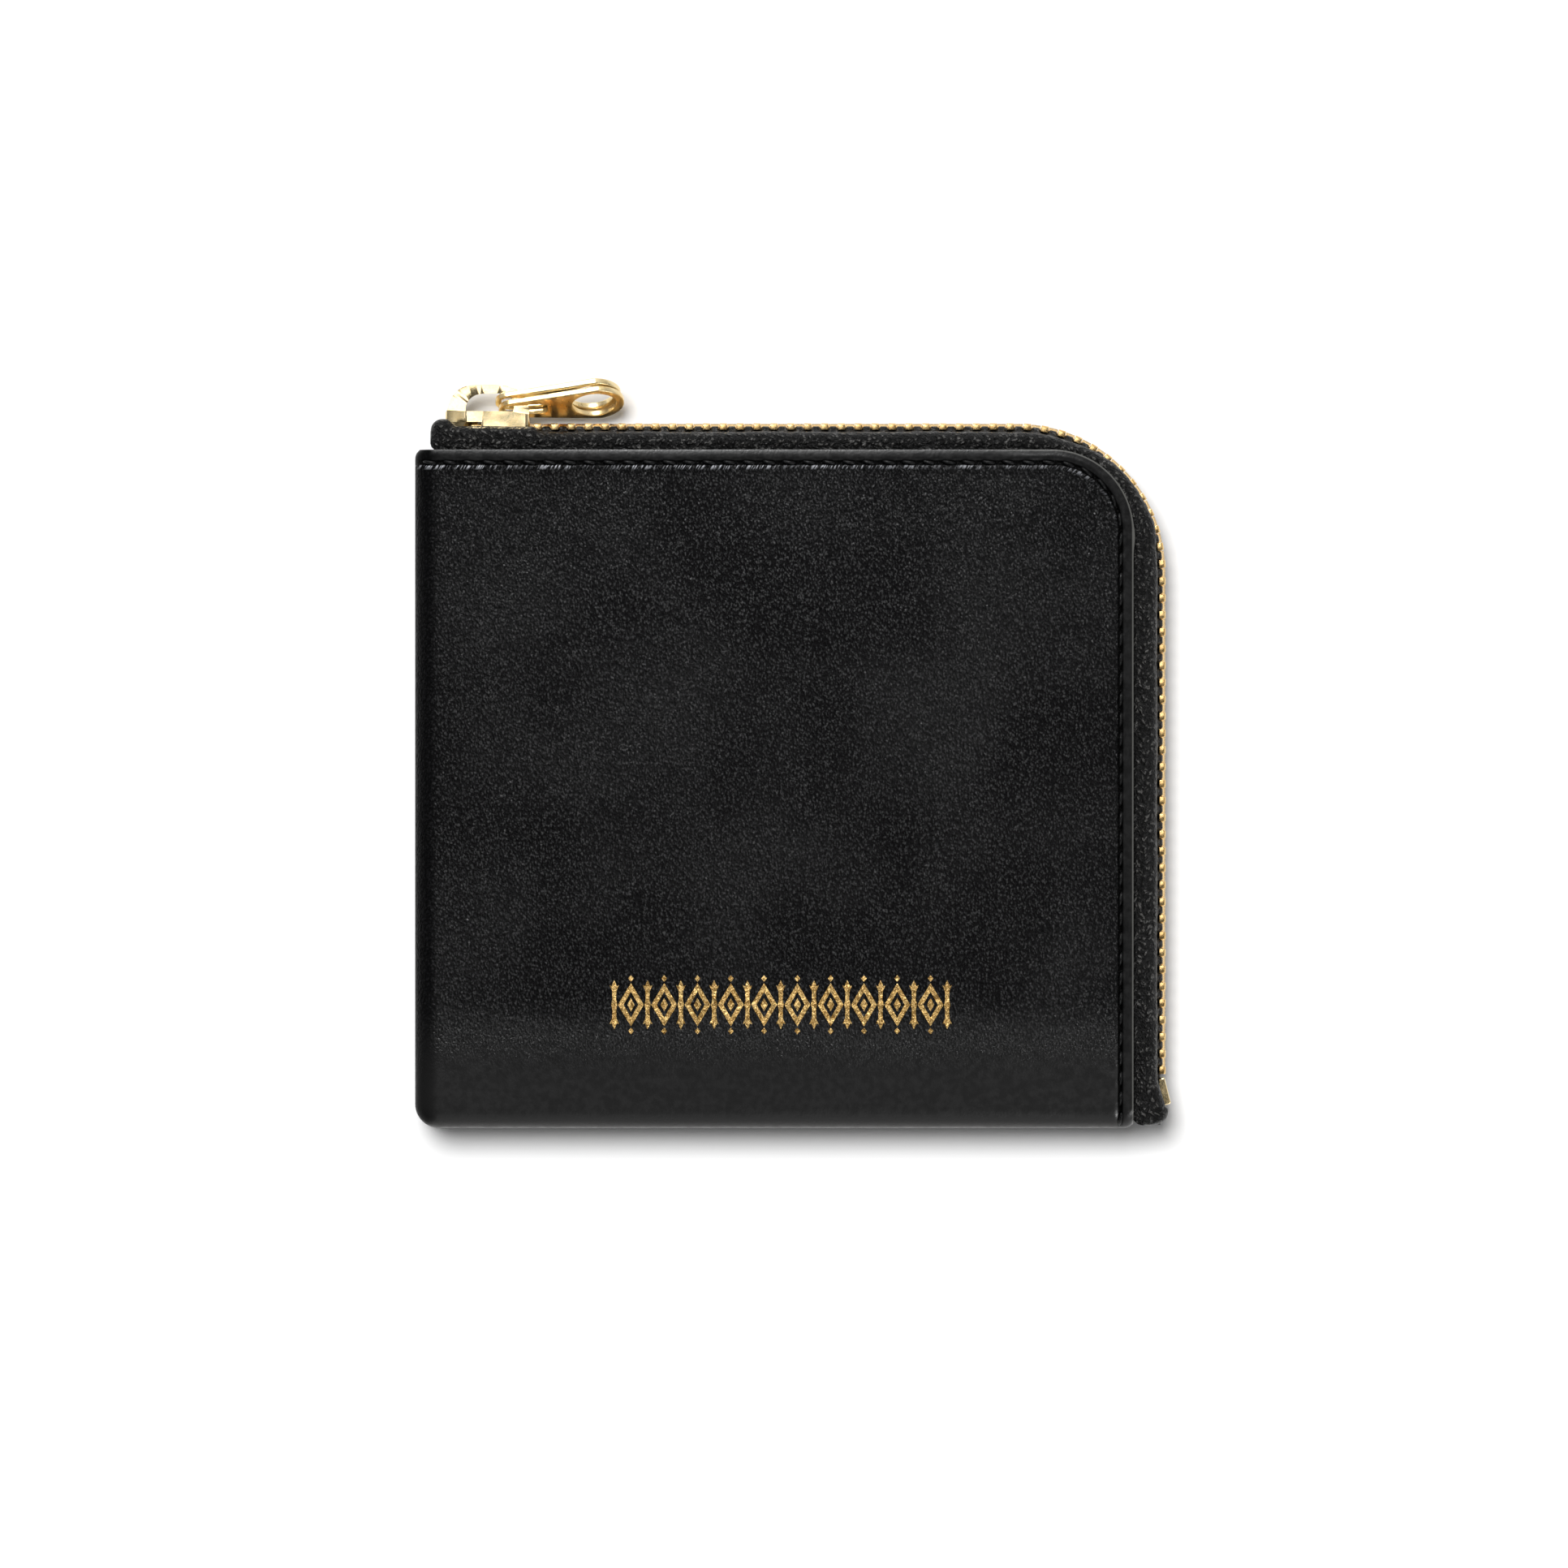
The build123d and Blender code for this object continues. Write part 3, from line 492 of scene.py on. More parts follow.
# ---------------------------------------------------------------- leather surface
def zip_inset(x, y):
    """Distance of a point on a face from the zipped edge."""
    cx, cy = RIGHT - CORNER, TOP - CORNER
    straight = np.minimum(RIGHT - x, TOP - y)
    round_part = CORNER - np.hypot(x - cx, y - cy)
    return np.where((x > cx) & (y > cy), round_part, straight)


def zip_along(x, y):
    """Length along the zipped edge's seam, from the left end of the top edge."""
    cx, cy = RIGHT - CORNER, TOP - CORNER
    radius = CORNER - STITCH_INSET
    top_run = cx - LEFT
    turn = np.arctan2(np.maximum(x - cx, 0), np.maximum(y - cy, 1e-9))
    on_right = (RIGHT - x < TOP - y) & (y <= cy)
    bent = (x > cx) & (y > cy)
    along = np.where(bent, top_run + radius * turn, x - LEFT)
    return np.where(on_right, top_run + radius * math.pi / 2 + (cy - y), along)


def hole_wave(along):
    """Wave along the seam that peaks at 1 at each needle hole."""
    return np.cos(2 * math.pi * (along - FIRST_STITCH + STITCH_PITCH / 2) / STITCH_PITCH)


def seam_relief(x, y):
    """Rise and fall of the leather along the topstitched edge."""
    inset, along = zip_inset(x, y), zip_along(x, y)
    holes = hole_wave(along)
    groove = -(0.26 + 0.12 * holes) * bell(inset, STITCH_INSET, 0.34)
    bulge = (0.10 - 0.05 * holes) * bell(inset, STITCH_INSET + 0.95, 0.6)
    droop = -0.10 * np.exp(-((inset / 0.4) ** 2))
    bend_start = RIGHT - CORNER - LEFT
    fold = 0.07 * bell(inset, 1.0, 0.2) * smoothstep(bend_start - 8, bend_start - 3, along)
    fold *= smoothstep(bend_start + 9, bend_start + 5, along)
    return groove + bulge + droop + fold


def crown(x, y):
    """Soft rise of the front towards its middle."""
    across = np.abs((x - (LEFT + RIGHT) / 2) / (RIGHT - LEFT) * 2)
    upward = np.abs((y - (BOTTOM + TOP) / 2) / (TOP - BOTTOM) * 2)
    return CROWN * (1 - np.clip(across, 0, 1) ** 2.4) * (1 - np.clip(upward, 0, 1) ** 2.4)


def front_height(x, y):
    """Height of the front leather above the back of the wallet."""
    soft = 0.10 * np.sin(x / 9.0 + 0.6) * np.sin(y / 12.0 - 0.4) + 0.06 * np.sin(x / 4.7 - y / 6.1)
    calm = smoothstep(0, 8, zip_inset(x, y)) * smoothstep(0, 6, x - LEFT) * smoothstep(0, 6, y - BOTTOM)
    return DEPTH + crown(x, y) + soft * calm + seam_relief(x, y)


def back_height(x, y):
    """Height of the back leather's outer face: flat, with the same sewn groove, pressed into the face."""
    inset, holes = zip_inset(x, y), hole_wave(zip_along(x, y))
    return (0.42 + 0.1 * holes) * bell(inset, STITCH_INSET, 0.36) + 0.22 * np.exp(-((inset / 0.55) ** 2))


FLAT_LEFT, FLAT_BOTTOM = LEFT + ROLL, BOTTOM + ROLL


def roll_drop(x, y):
    """How far the leather has turned away from a face's plane near the closed sides."""
    past = np.clip(np.maximum(FLAT_LEFT - x, FLAT_BOTTOM - y), 0, ROLL)
    return ROLL - np.sqrt(ROLL**2 - past**2)


# points along each run of a panel's outline
COUNTS = {"right": 330, "arc": 76, "top": 370, "left": 190, "seam_arc": 14, "bottom": 210}


def panel_ring(inset):
    """Closed loop of points at an inset inside the flat part of a face, and their outward normals."""
    left, right, bottom, top = FLAT_LEFT + inset, RIGHT - inset, FLAT_BOTTOM + inset, TOP - inset
    r = max(CORNER - inset, 0.3)  # zipped corner
    q = max(SEAM_CORNER - inset, 0.05)  # corner of fold and seam

    def line(a, b, count, normal):
        t = np.arange(count)[:, None] / count
        return np.array(a) * (1 - t) + np.array(b) * t, np.tile(normal, (count, 1))

    def arc(centre, radius, start, count):
        angle = math.radians(start) + np.arange(count) / count * math.pi / 2
        ray = np.stack([np.cos(angle), np.sin(angle)], 1)
        return np.array(centre) + radius * ray, ray

    side, side_normal = line((right, bottom), (right, top - r), COUNTS["right"], (1.0, 0.0))
    bend, bend_normal = arc((right - r, top - r), r, 0, COUNTS["arc"])
    for run in (side, bend):
        run[:, 0] += 0.22 * bell(run[:, 1], TOP - CORNER - 0.9, 1.7) * math.exp(-inset / 2.5)
    parts = [
        (side, side_normal),
        (bend, bend_normal),
        line((right - r, top), (left, top), COUNTS["top"], (0.0, 1.0)),
        line((left, top), (left, bottom + q), COUNTS["left"], (-1.0, 0.0)),
        arc((left + q, bottom + q), q, 180, COUNTS["seam_arc"]),
        line((left + q, bottom), (right, bottom), COUNTS["bottom"], (0.0, -1.0)),
    ]
    return np.concatenate([p[0] for p in parts]), np.concatenate([p[1] for p in parts])


# insets of the rings of points that make up a face, close together near its edge
RING_INSETS = np.concatenate([[0, 0.32, 0.5], np.arange(0.75, 4.6, 0.25), np.arange(5.0, 12.0, 0.8)])
RING_INSETS = np.concatenate([RING_INSETS, np.arange(12.6, 49.2, 1.5), [49.42]])
ZIP_POINTS = COUNTS["right"] + COUNTS["arc"] + COUNTS["top"]
RING_SIZE = sum(COUNTS.values())


def roll_profile():
    """Section of the closed sides from the front face to the back: (outward, height) pairs."""
    steps = np.linspace(0, math.pi / 2, 7)
    front = [(ROLL * math.sin(a), DEPTH - ROLL + ROLL * math.cos(a)) for a in steps[1:]]
    wall = [(ROLL, z) for z in np.linspace(DEPTH - ROLL, ROLL, 16)[1:-1]]
    back = [(out, DEPTH - z) for out, z in reversed(front)]
    return front + wall + back


def closed_sides(front_edge, back_edge, front_z, back_z):
    """Rows of points and faces of the fold and the turned seam, which join front and back.

    front_edge and back_edge number the points that the sides start from; front_z and back_z are their heights."""
    edge, normals = panel_ring(0)
    seam = np.r_[ZIP_POINTS:RING_SIZE, 0]
    base, out = edge[seam], normals[seam].copy()
    out[-1] = (0.0, -1.0)
    at_bottom = out[:, 1] < -0.5
    turned = smoothstep(FLAT_LEFT, FLAT_LEFT + 3, base[:, 0]) * at_bottom
    ripple = np.sin(base[:, 0] / 2.3) + 0.5 * np.sin(base[:, 0] / 0.9)
    past = np.where(at_bottom, base[:, 0] - RIGHT, base[:, 1] - TOP) + CLOSED_END
    narrowed = 1 - 0.22 * np.clip(past / CLOSED_END, 0, 1) ** 3
    rows = []
    for reach, z in roll_profile():
        crease = -0.75 * turned * bell(z, MIDDLE, 0.8) * (1 + 0.2 * ripple)
        pinch = 0.03 * turned * ripple * bell(z, MIDDLE, 3.0)
        spread = base + out * (reach * narrowed + crease + pinch)[:, None]
        share = z / DEPTH
        height = z + (front_z[seam] - DEPTH) * share**3 + back_z[seam] * (1 - share) ** 3
        rows.append(np.column_stack([spread, height]))
    first, columns = 2 * len(RING_INSETS) * RING_SIZE, len(seam)
    inner = [[first + r * columns + c for c in range(columns)] for r in range(len(rows))]
    indices = [[front_edge[i] for i in seam]] + inner + [[back_edge[i] for i in seam]]
    faces = []
    for above, below in zip(indices, indices[1:]):
        faces += [(above[c], below[c], below[c + 1], above[c + 1]) for c in range(columns - 1)]
    return rows, faces


def leather_shell():
    """One sheet of leather: front, folded spine at the left, turned seam at the bottom, and back."""
    rings = [panel_ring(inset)[0] for inset in RING_INSETS]
    front = [np.column_stack([ring, front_height(ring[:, 0], ring[:, 1])]) for ring in rings]
    back = [np.column_stack([ring, back_height(ring[:, 0], ring[:, 1])]) for ring in rings]
    back_first = len(rings) * RING_SIZE
    middle = tuple(range(back_first - RING_SIZE, back_first))
    faces = grid_faces(len(rings), RING_SIZE, wrap=True)
    faces.append(middle)
    faces += [face[::-1] for face in grid_faces(len(rings), RING_SIZE, wrap=True, first=back_first)]
    faces.append(tuple(back_first + i for i in middle)[::-1])
    back_edge = range(back_first, back_first + RING_SIZE)
    sides, side_faces = closed_sides(range(RING_SIZE), back_edge, front[0][:, 2], back[0][:, 2])

    points = np.concatenate(front + back + sides)
    shell = new_object("leather_shell", points, faces + side_faces, [LEATHER_MAT, EDGE_MAT])
    fix_normals(shell)
    inset = zip_inset(points[:, 0], points[:, 1])
    write_uv(shell, "edge", np.column_stack([zip_along(points[:, 0], points[:, 1]), inset]) * MM)
    thicken(shell, LEATHER, rim=1)
    bevel(shell, 0.24, 74, material=1)
    stand_for(shell, "leather", "front_panel", "back_panel", "front_lip")
    gape(shell)


# ---------------------------------------------------------------- stitches
def edge_point(along, inset):
    """Point at a length along the topstitched seam and at an inset from the edge."""
    radius = CORNER - STITCH_INSET
    cx, cy = RIGHT - CORNER, TOP - CORNER
    top_run, bend = cx - LEFT, radius * math.pi / 2
    if along < top_run:
        return LEFT + along, TOP - inset
    if along < top_run + bend:
        turn = (along - top_run) / radius
        reach = CORNER - inset
        return cx + reach * math.sin(turn), cy + reach * math.cos(turn)
    return RIGHT - inset, cy - (along - top_run - bend)


def tube(path, radius, sides=8):
    """Points and faces of a closed tube round a path of points, narrowed at its ends."""
    path = np.asarray(path, float)
    tangent = np.gradient(path, axis=0)
    tangent /= np.linalg.norm(tangent, axis=1)[:, None]
    up = np.array([0.0, 0.0, 1.0])
    side = np.cross(tangent, up)
    side /= np.linalg.norm(side, axis=1)[:, None]
    top = np.cross(side, tangent)
    t = np.linspace(-1, 1, len(path))
    width = radius * np.sqrt(np.clip(1 - np.abs(t) ** 5, 0.05, 1))
    angles = np.arange(sides) / sides * 2 * math.pi
    rings = [
        path[i] + width[i] * (np.cos(angles)[:, None] * side[i] + np.sin(angles)[:, None] * top[i])
        for i in range(len(path))
    ]
    faces = grid_faces(len(path), sides, wrap=True)
    faces += [tuple(range(sides))[::-1], tuple((len(path) - 1) * sides + k for k in range(sides))]
    return np.concatenate(rings), faces


def join_parts(parts):
    """One list of points and one of faces from several."""
    points, faces, count = [], [], 0
    for part_points, part_faces in parts:
        points.append(part_points)
        faces += [tuple(count + i for i in face) for face in part_faces]
        count += len(part_points)
    return np.concatenate(points), faces


def seam_stitches(height, lift, stitch_count, rng):
    """Threads of one topstitched seam, lying in the groove of a face."""
    parts = []
    for i in range(stitch_count):
        middle = FIRST_STITCH + STITCH_PITCH * i
        lean = 0.16 + rng.normal(0, 0.03)
        length = 1.05 + rng.normal(0, 0.05)
        path = []
        for t in np.linspace(-1, 1, 9):
            x, y = edge_point(middle + t * length, STITCH_INSET + lean * t)
            bow = lift * (0.26 - 0.40 * t**4)
            path.append((x, y, float(height(np.array([x]), np.array([y]))[0]) + bow))
        parts.append(tube(path, 0.27))
    return join_parts(parts)


def stitching():
    """The topstitching of the front and of the back."""
    rng = np.random.default_rng(7)
    seam_length = zip_along(np.array([RIGHT - STITCH_INSET]), np.array([BOTTOM]))[0]
    count = int((seam_length - FIRST_STITCH - 0.6) / STITCH_PITCH) + 1
    front_seam = seam_stitches(lambda x, y: front_height(x, y) - roll_drop(x, y), 1.0, count, rng)
    front = new_object("front_stitches", *front_seam, [THREAD_MAT])
    stand_for(front, "thread", "front_stitching", "lip_stitching")
    gape(front)
    back_seam = seam_stitches(lambda x, y: back_height(x, y) + roll_drop(x, y), -0.4, count, rng)
    back = new_object("back_stitches", *back_seam, [THREAD_MAT])
    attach(back, "wallet")


# ---------------------------------------------------------------- zip tapes
def chain_point(s):
    """Point of the main chain's path a length s from the tape's start, its outward direction and its turn."""
    cx, cy = CHAIN_X - CHAIN_CORNER, CHAIN_Y - CHAIN_CORNER
    if s < TOP_RUN:
        return (TAPE_START + s, CHAIN_Y), (0.0, 1.0), 0.0
    if s < TOP_RUN + ARC_RUN:
        a = (s - TOP_RUN) / CHAIN_CORNER
        nx, ny = math.sin(a), math.cos(a)
        return (cx + CHAIN_CORNER * nx, cy + CHAIN_CORNER * ny), (nx, ny), a / (math.pi / 2)
    return (CHAIN_X, cy - (s - TOP_RUN - ARC_RUN)), (1.0, 0.0), 1.0


def tape_face(s, turn):
    """How far outside the chain's middle the tape's outer face stands, at a length s along the tape."""
    to_end = TAPE_LENGTH - s
    under_slider = 0.85 * smoothstep(17.0, 15.2, s)
    left_end = 1.05 * smoothstep(4.0, 2.4, s)
    corner = 0.80 * smoothstep(0.22, 0.5, turn) * smoothstep(0.94, 0.76, turn)
    stop = 1.3 * np.clip((7.1 - to_end) / 4.1, 0, 1) + 0.45 * smoothstep(3.0, 2.4, to_end)
    face = under_slider + left_end + corner + stop - 0.05
    for distance, radius in ((s, 1.8), (to_end, 2.3)):
        if distance < radius:
            face += radius * (math.sqrt(1 - (1 - distance / radius) ** 2) - 1)
    return face + 0.05 * math.sin(s / 3.7) + 0.03 * math.sin(s / 1.3 + 1)


SHOULDER_ANGLES = np.linspace(0, math.pi / 2, 7)


def tape_section(face, edge, bead, drop):
    """Section of one zip tape, as (outward, height above the chain's middle) pairs.

    face is its outer face, edge where it comes out from under the leather, bead the swelling of the cord that
    the teeth grip, and drop how far the shoulder sinks at the tape's ends."""
    flat = MIDDLE - LEATHER - 0.05
    thick, shoulder, cord = 0.5, 1.3, 1.9
    high = flat + 0.12 - drop
    root = face - shoulder
    outer = [(edge - TAPE_TUCK, flat), (edge - 0.5, flat), (edge + 0.15, flat + 0.02)]
    outer.append((min(edge + 0.7, root), high))
    outer += [(root + shoulder * math.sin(a), high - shoulder * (1 - math.cos(a))) for a in SHOULDER_ANGLES]
    outer.append((face, 4.2))
    outer.append((min(face, 0.1), 3.3))
    around = [math.radians(d) for d in range(65, -246, -31)]
    ring = [(bead * math.cos(a), cord + bead * math.sin(a)) for a in around]
    inner = [(min(face, 0.1) - thick, 3.3), (face - thick, 4.2)]
    r = shoulder - thick
    inner += [(root + r * math.sin(a), high - thick - r * (1 - math.cos(a))) for a in SHOULDER_ANGLES[::-1]]
    inner += [(edge - 0.5, flat - thick), (edge - TAPE_TUCK, flat - thick)]
    return np.array(outer + ring + inner)


def main_tape(name, node, side):
    """Half of the main zip's tape, swept along the chain's path with puffed, rounded ends."""
    top_gap, side_gap = CHAIN_Y - TOP, CHAIN_X - RIGHT
    tooth_phase = FIRST_TOOTH - TAPE_START + (0 if side > 0 else TOOTH_PITCH / 2)
    steps = np.concatenate([np.linspace(0, 2.4, 14), np.arange(2.6, TAPE_LENGTH - 2.6, 0.2116)])
    steps = np.concatenate([steps, TAPE_LENGTH - np.linspace(2.5, 0, 18)])
    rows, weave = [], []
    for s in steps:
        (x, y), (nx, ny), turn = chain_point(s)
        beat = abs((s - tooth_phase) / TOOTH_PITCH - round((s - tooth_phase) / TOOTH_PITCH))
        among_teeth = s > tooth_phase - 1 and TAPE_LENGTH - s > 7.5
        bead = 0.56 + (0.32 * smoothstep(0.2, 0.34, beat) if among_teeth else 0.0)
        drop = 0.0
        for distance, radius in ((s, 1.6), (TAPE_LENGTH - s, 1.8)):
            if distance < radius:
                drop += 1.1 * (1 - math.sqrt(1 - (1 - distance / radius) ** 2))
        edge = -(top_gap + (side_gap - top_gap) * turn)
        section = tape_section(float(tape_face(s, turn)), edge, float(bead), drop)
        for distance, radius in ((s, 1.0), (TAPE_LENGTH - s, 1.4)):
            past = max(1 - distance / radius, 0)
            tuck = TAPE_TUCK * smoothstep(radius, radius + 3, distance)
            cut = edge - tuck + radius * (1 - math.sqrt(1 - past**2))
            section[:, 0] = np.maximum(section[:, 0], cut)
        out, z = section[:, 0], section[:, 1]
        rows.append(np.column_stack([x + nx * out, y + ny * out, MIDDLE + side * z]))
        around = running_length(section)
        weave.append(np.column_stack([np.full(len(section), s), around - around[1]]))
    columns = len(rows[0])
    tape = new_object(name, np.concatenate(rows), swept_faces(len(rows), columns), [TAPE_MAT])
    write_uv(tape, "weave", np.concatenate(weave) * MM)
    fix_normals(tape)
    stand_for(tape, "tape", node)
    return tape


# ---------------------------------------------------------------- metal
def dress_metal(node, material, width):
    """Finishes a CAD metal part: its plating and small rounds on its sharp edges."""
    obj = NODES[node]
    obj.data.materials.clear()
    obj.data.materials.append(material)
    round_edges(obj, width)


def round_edges(obj, width):
    """Small rounds on a metal part's edges, shaded flat between them."""
    modifier(obj, "WELD", "weld", merge_threshold=0.0008 * MM)
    bevel(obj, width, 38)
    modifier(obj, "WEIGHTED_NORMAL", "shade", keep_sharp=False)


def row_of_teeth(node, name):
    """A row of teeth with the CAD node's shape, as a mesh of its own."""
    source = NODES[node]
    obj = bpy.data.objects.new(name, source.data.copy())
    bpy.context.scene.collection.objects.link(obj)
    obj.data.materials.clear()
    obj.data.materials.append(TOOTH_MAT)
    stand_for(obj, "teeth", node)
    return obj


def front_tooth_row():
    """The front row of teeth, each tooth's share of the mouth worked out from the tape that it grips."""
    row = row_of_teeth("front_teeth", "front_tooth_row")
    points = vertices_mm(row)
    centre = FIRST_TOOTH + np.round((points[:, 0] - FIRST_TOOTH) / TOOTH_PITCH) * TOOTH_PITCH
    on_top = points[:, 1] > CHAIN_Y - 2
    gape(row, mouth_share(np.where(on_top, centre, RIGHT), TOP + 2.0, DEPTH))
    round_edges(row, 0.09)


def back_tooth_row():
    """The back row of teeth, each as wide as the space between two front ones, so that the chain closes."""
    row = row_of_teeth("back_teeth", "back_tooth_row")
    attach(row, "wallet")
    points = vertices_mm(row)
    first = FIRST_TOOTH + TOOTH_PITCH / 2 - TAPE_START
    places = [chain_point(s) for s in np.arange(first, TAPE_LENGTH, TOOTH_PITCH)]
    centres = np.array([place for place, _, _ in places])
    outward = np.array([out for _, out, _ in places])
    nearest = np.argmin(np.linalg.norm(points[:, None, :2] - centres, axis=2), axis=1)
    ahead = np.column_stack([outward[nearest, 1], -outward[nearest, 0]])
    offset = np.sum((points[:, :2] - centres[nearest]) * ahead, axis=1)
    points[:, :2] += ahead * (offset * (BACK_TOOTH_SPREAD - 1))[:, None]
    row.data.vertices.foreach_set("co", (points * MM).ravel())
    round_edges(row, 0.09)


def metal_parts():
    """Every CAD metal part in its plating, and the two rows of teeth."""
    dress_metal("slider", SLIDER_MAT, 0.26)
    dress_metal("bottom_stop", SLIDER_MAT, 0.08)
    for node in ("pull_tab_outer", "pull_tab_inner"):
        dress_metal(node, TAB_MAT, 0.10)
    for node in ("front_top_stop", "back_top_stop"):
        dress_metal(node, TOOTH_MAT, 0.09)
    for node in ("coin_teeth_front", "coin_teeth_back"):
        dress_metal(node, TOOTH_MAT, 0.06)
    for node in ("coin_slider", "coin_pull_tab", "coin_end_stop"):
        dress_metal(node, SLIDER_MAT, 0.08)
    front_tooth_row()
    back_tooth_row()


# ---------------------------------------------------------------- foil ornament
def lozenge(x, y, half_width, half_height):
    """Outline of a diamond."""
    return np.array([(x + half_width, y), (x, y + half_height), (x - half_width, y), (x, y - half_height)])


def spindle(x, y, half_width, half_height):
    """An upright bar with pointed ends and a pair of barbs near each."""
    right = [
        (0.0, 1.0), (0.95, 0.74), (1.5, 0.80), (0.75, 0.60), (0.62, 0.22), (1.0, 0.0),
        (0.62, -0.22), (0.75, -0.60), (1.5, -0.80), (0.95, -0.74), (0.0, -1.0),
    ]
    outline = right + [(-a, b) for a, b in right[-2:0:-1]]
    return np.array([(x + a * half_width, y + b * half_height) for a, b in outline])


def foil_piece(outline, hole=None):
    """Points and faces of one stamped shape, as a ring round its hole or filled."""
    count = len(outline)
    inner = np.mean(outline, axis=0) * 0.1 + outline * 0.9 if hole is None else hole
    flat = np.concatenate([outline, inner])
    z = front_height(flat[:, 0], flat[:, 1]) + FOIL_LIFT
    faces = [(i, (i + 1) % count, count + (i + 1) % count, count + i) for i in range(count)]
    if hole is None:
        faces.append(tuple(range(count, 2 * count)))
    return np.column_stack([flat, z]), faces


def foil_ornament():
    """A band of framed lozenges between upright spindles, stamped in foil."""
    low, high = box_mm("foil_ornament")
    middle_x, y = (low[0] + high[0]) / 2, (low[1] + high[1]) / 2
    step, count = 5.0, 10
    parts = []
    for i in range(count):
        x = middle_x + (i - (count - 1) / 2) * step
        outer = lozenge(x, y, 1.95, 3.25)
        parts.append(foil_piece(outer, lozenge(x, y, 1.12, 1.95)))
        parts.append(foil_piece(lozenge(x, y, 0.55, 1.0)))
        for end in (-1, 1):
            parts.append(foil_piece(lozenge(x, y + end * 3.95, 0.42, 0.5)))
    for i in range(count + 1):
        x = middle_x + (i - count / 2) * step
        parts.append(foil_piece(spindle(x, y, 0.46, 3.7)))
        for side in (-1, 1):
            if 0 < i < count or side * (i - 1) < 0:
                parts.append(foil_piece(lozenge(x + side * 1.05, y, 0.34, 0.62)))
    foil = new_object("foil_stamp", *join_parts(parts), [FOIL_MAT], smooth=False)
    for polygon in foil.data.polygons:
        if polygon.normal[2] < 0:
            polygon.flip()
    stand_for(foil, "foil", "foil_ornament")
    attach(foil, "wallet")


# ---------------------------------------------------------------- inside of the wallet
def rounded_sheet(low, high, corner, height, steps=60):
    """Points and faces of a rounded rectangle whose height follows a function, as one sheet."""
    width, tall = high[0] - low[0], high[1] - low[1]
    points = []
    for v in np.linspace(0, 1, steps):
        y = low[1] + v * tall
        from_edge = min(y - low[1], high[1] - y)
        bite = corner - math.sqrt(max(corner**2 - max(corner - from_edge, 0) ** 2, 0))
        for u in np.linspace(0, 1, steps):
            x = low[0] + bite + u * (width - 2 * bite)
            points.append((x, y, height(x, y)))
    return np.array(points), grid_faces(steps, steps)


def sheet_piece(node, corner, thickness, height=None):
    """A soft flat piece of the inside, in the place of a CAD sheet, with rounded corners and edges."""
    low, high = box_mm(node)
    face = height or (lambda x, y: high[2])
    sheet = new_object(node + "_leather", *rounded_sheet(low, high, corner, face), [LINING_MAT, EDGE_MAT])
    thicken(sheet, thickness, rim=1)
    bevel(sheet, 0.1, 57.3, segments=2)
    stand_for(sheet, "lining", node)
    return sheet


def lining_sheet(name, z_of, *nodes):
    """A lining cut to the panel's outline, a little inside it."""
    loops = []
    for inset in RING_INSETS[RING_INSETS >= 0.5]:
        points = panel_ring(inset)[0][::4]
        loops.append(np.column_stack([points, z_of(points[:, 0], points[:, 1])]))
    columns = len(loops[0])
    faces = grid_faces(len(loops), columns, wrap=True)
    faces.append(tuple((len(loops) - 1) * columns + c for c in range(columns)))
    sheet = new_object(name, np.concatenate(loops), faces, [LINING_MAT])
    thicken(sheet, LINING, offset=0.0)
    stand_for(sheet, "lining", *nodes)
    return sheet


def inside():
    """Linings, card slots, slip pocket and coin pocket."""
    front_z, back_z = np.mean(box_mm("front_lining"), axis=0)[2], np.mean(box_mm("back_lining"), axis=0)[2]

    def front_face(x, y):
        return front_z + 0.9 * crown(x, y)

    gape(lining_sheet("front_lining_sheet", front_face, "front_lining", "front_lip_lining"))
    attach(lining_sheet("back_lining_sheet", lambda x, y: 0 * x + back_z, "back_lining"), "wallet")

    for node in ("card_backing", "card_slot_1", "card_slot_2", "card_slot_3", "card_slot_4"):
        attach(sheet_piece(node, 2.0, 0.24), "wallet")
    slip_z = box_mm("slip_pocket")[1][2]
    gape(sheet_piece("slip_pocket", 2.0, 0.24, lambda x, y: slip_z + 0.8 * crown(x, y)))
    for node in ("coin_pocket_front", "coin_pocket_back"):
        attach(sheet_piece(node, 1.5, 0.38), "wallet")
    coin_gusset()
    coin_tape("coin_tape_front", 1)
    coin_tape("coin_tape_back", -1)


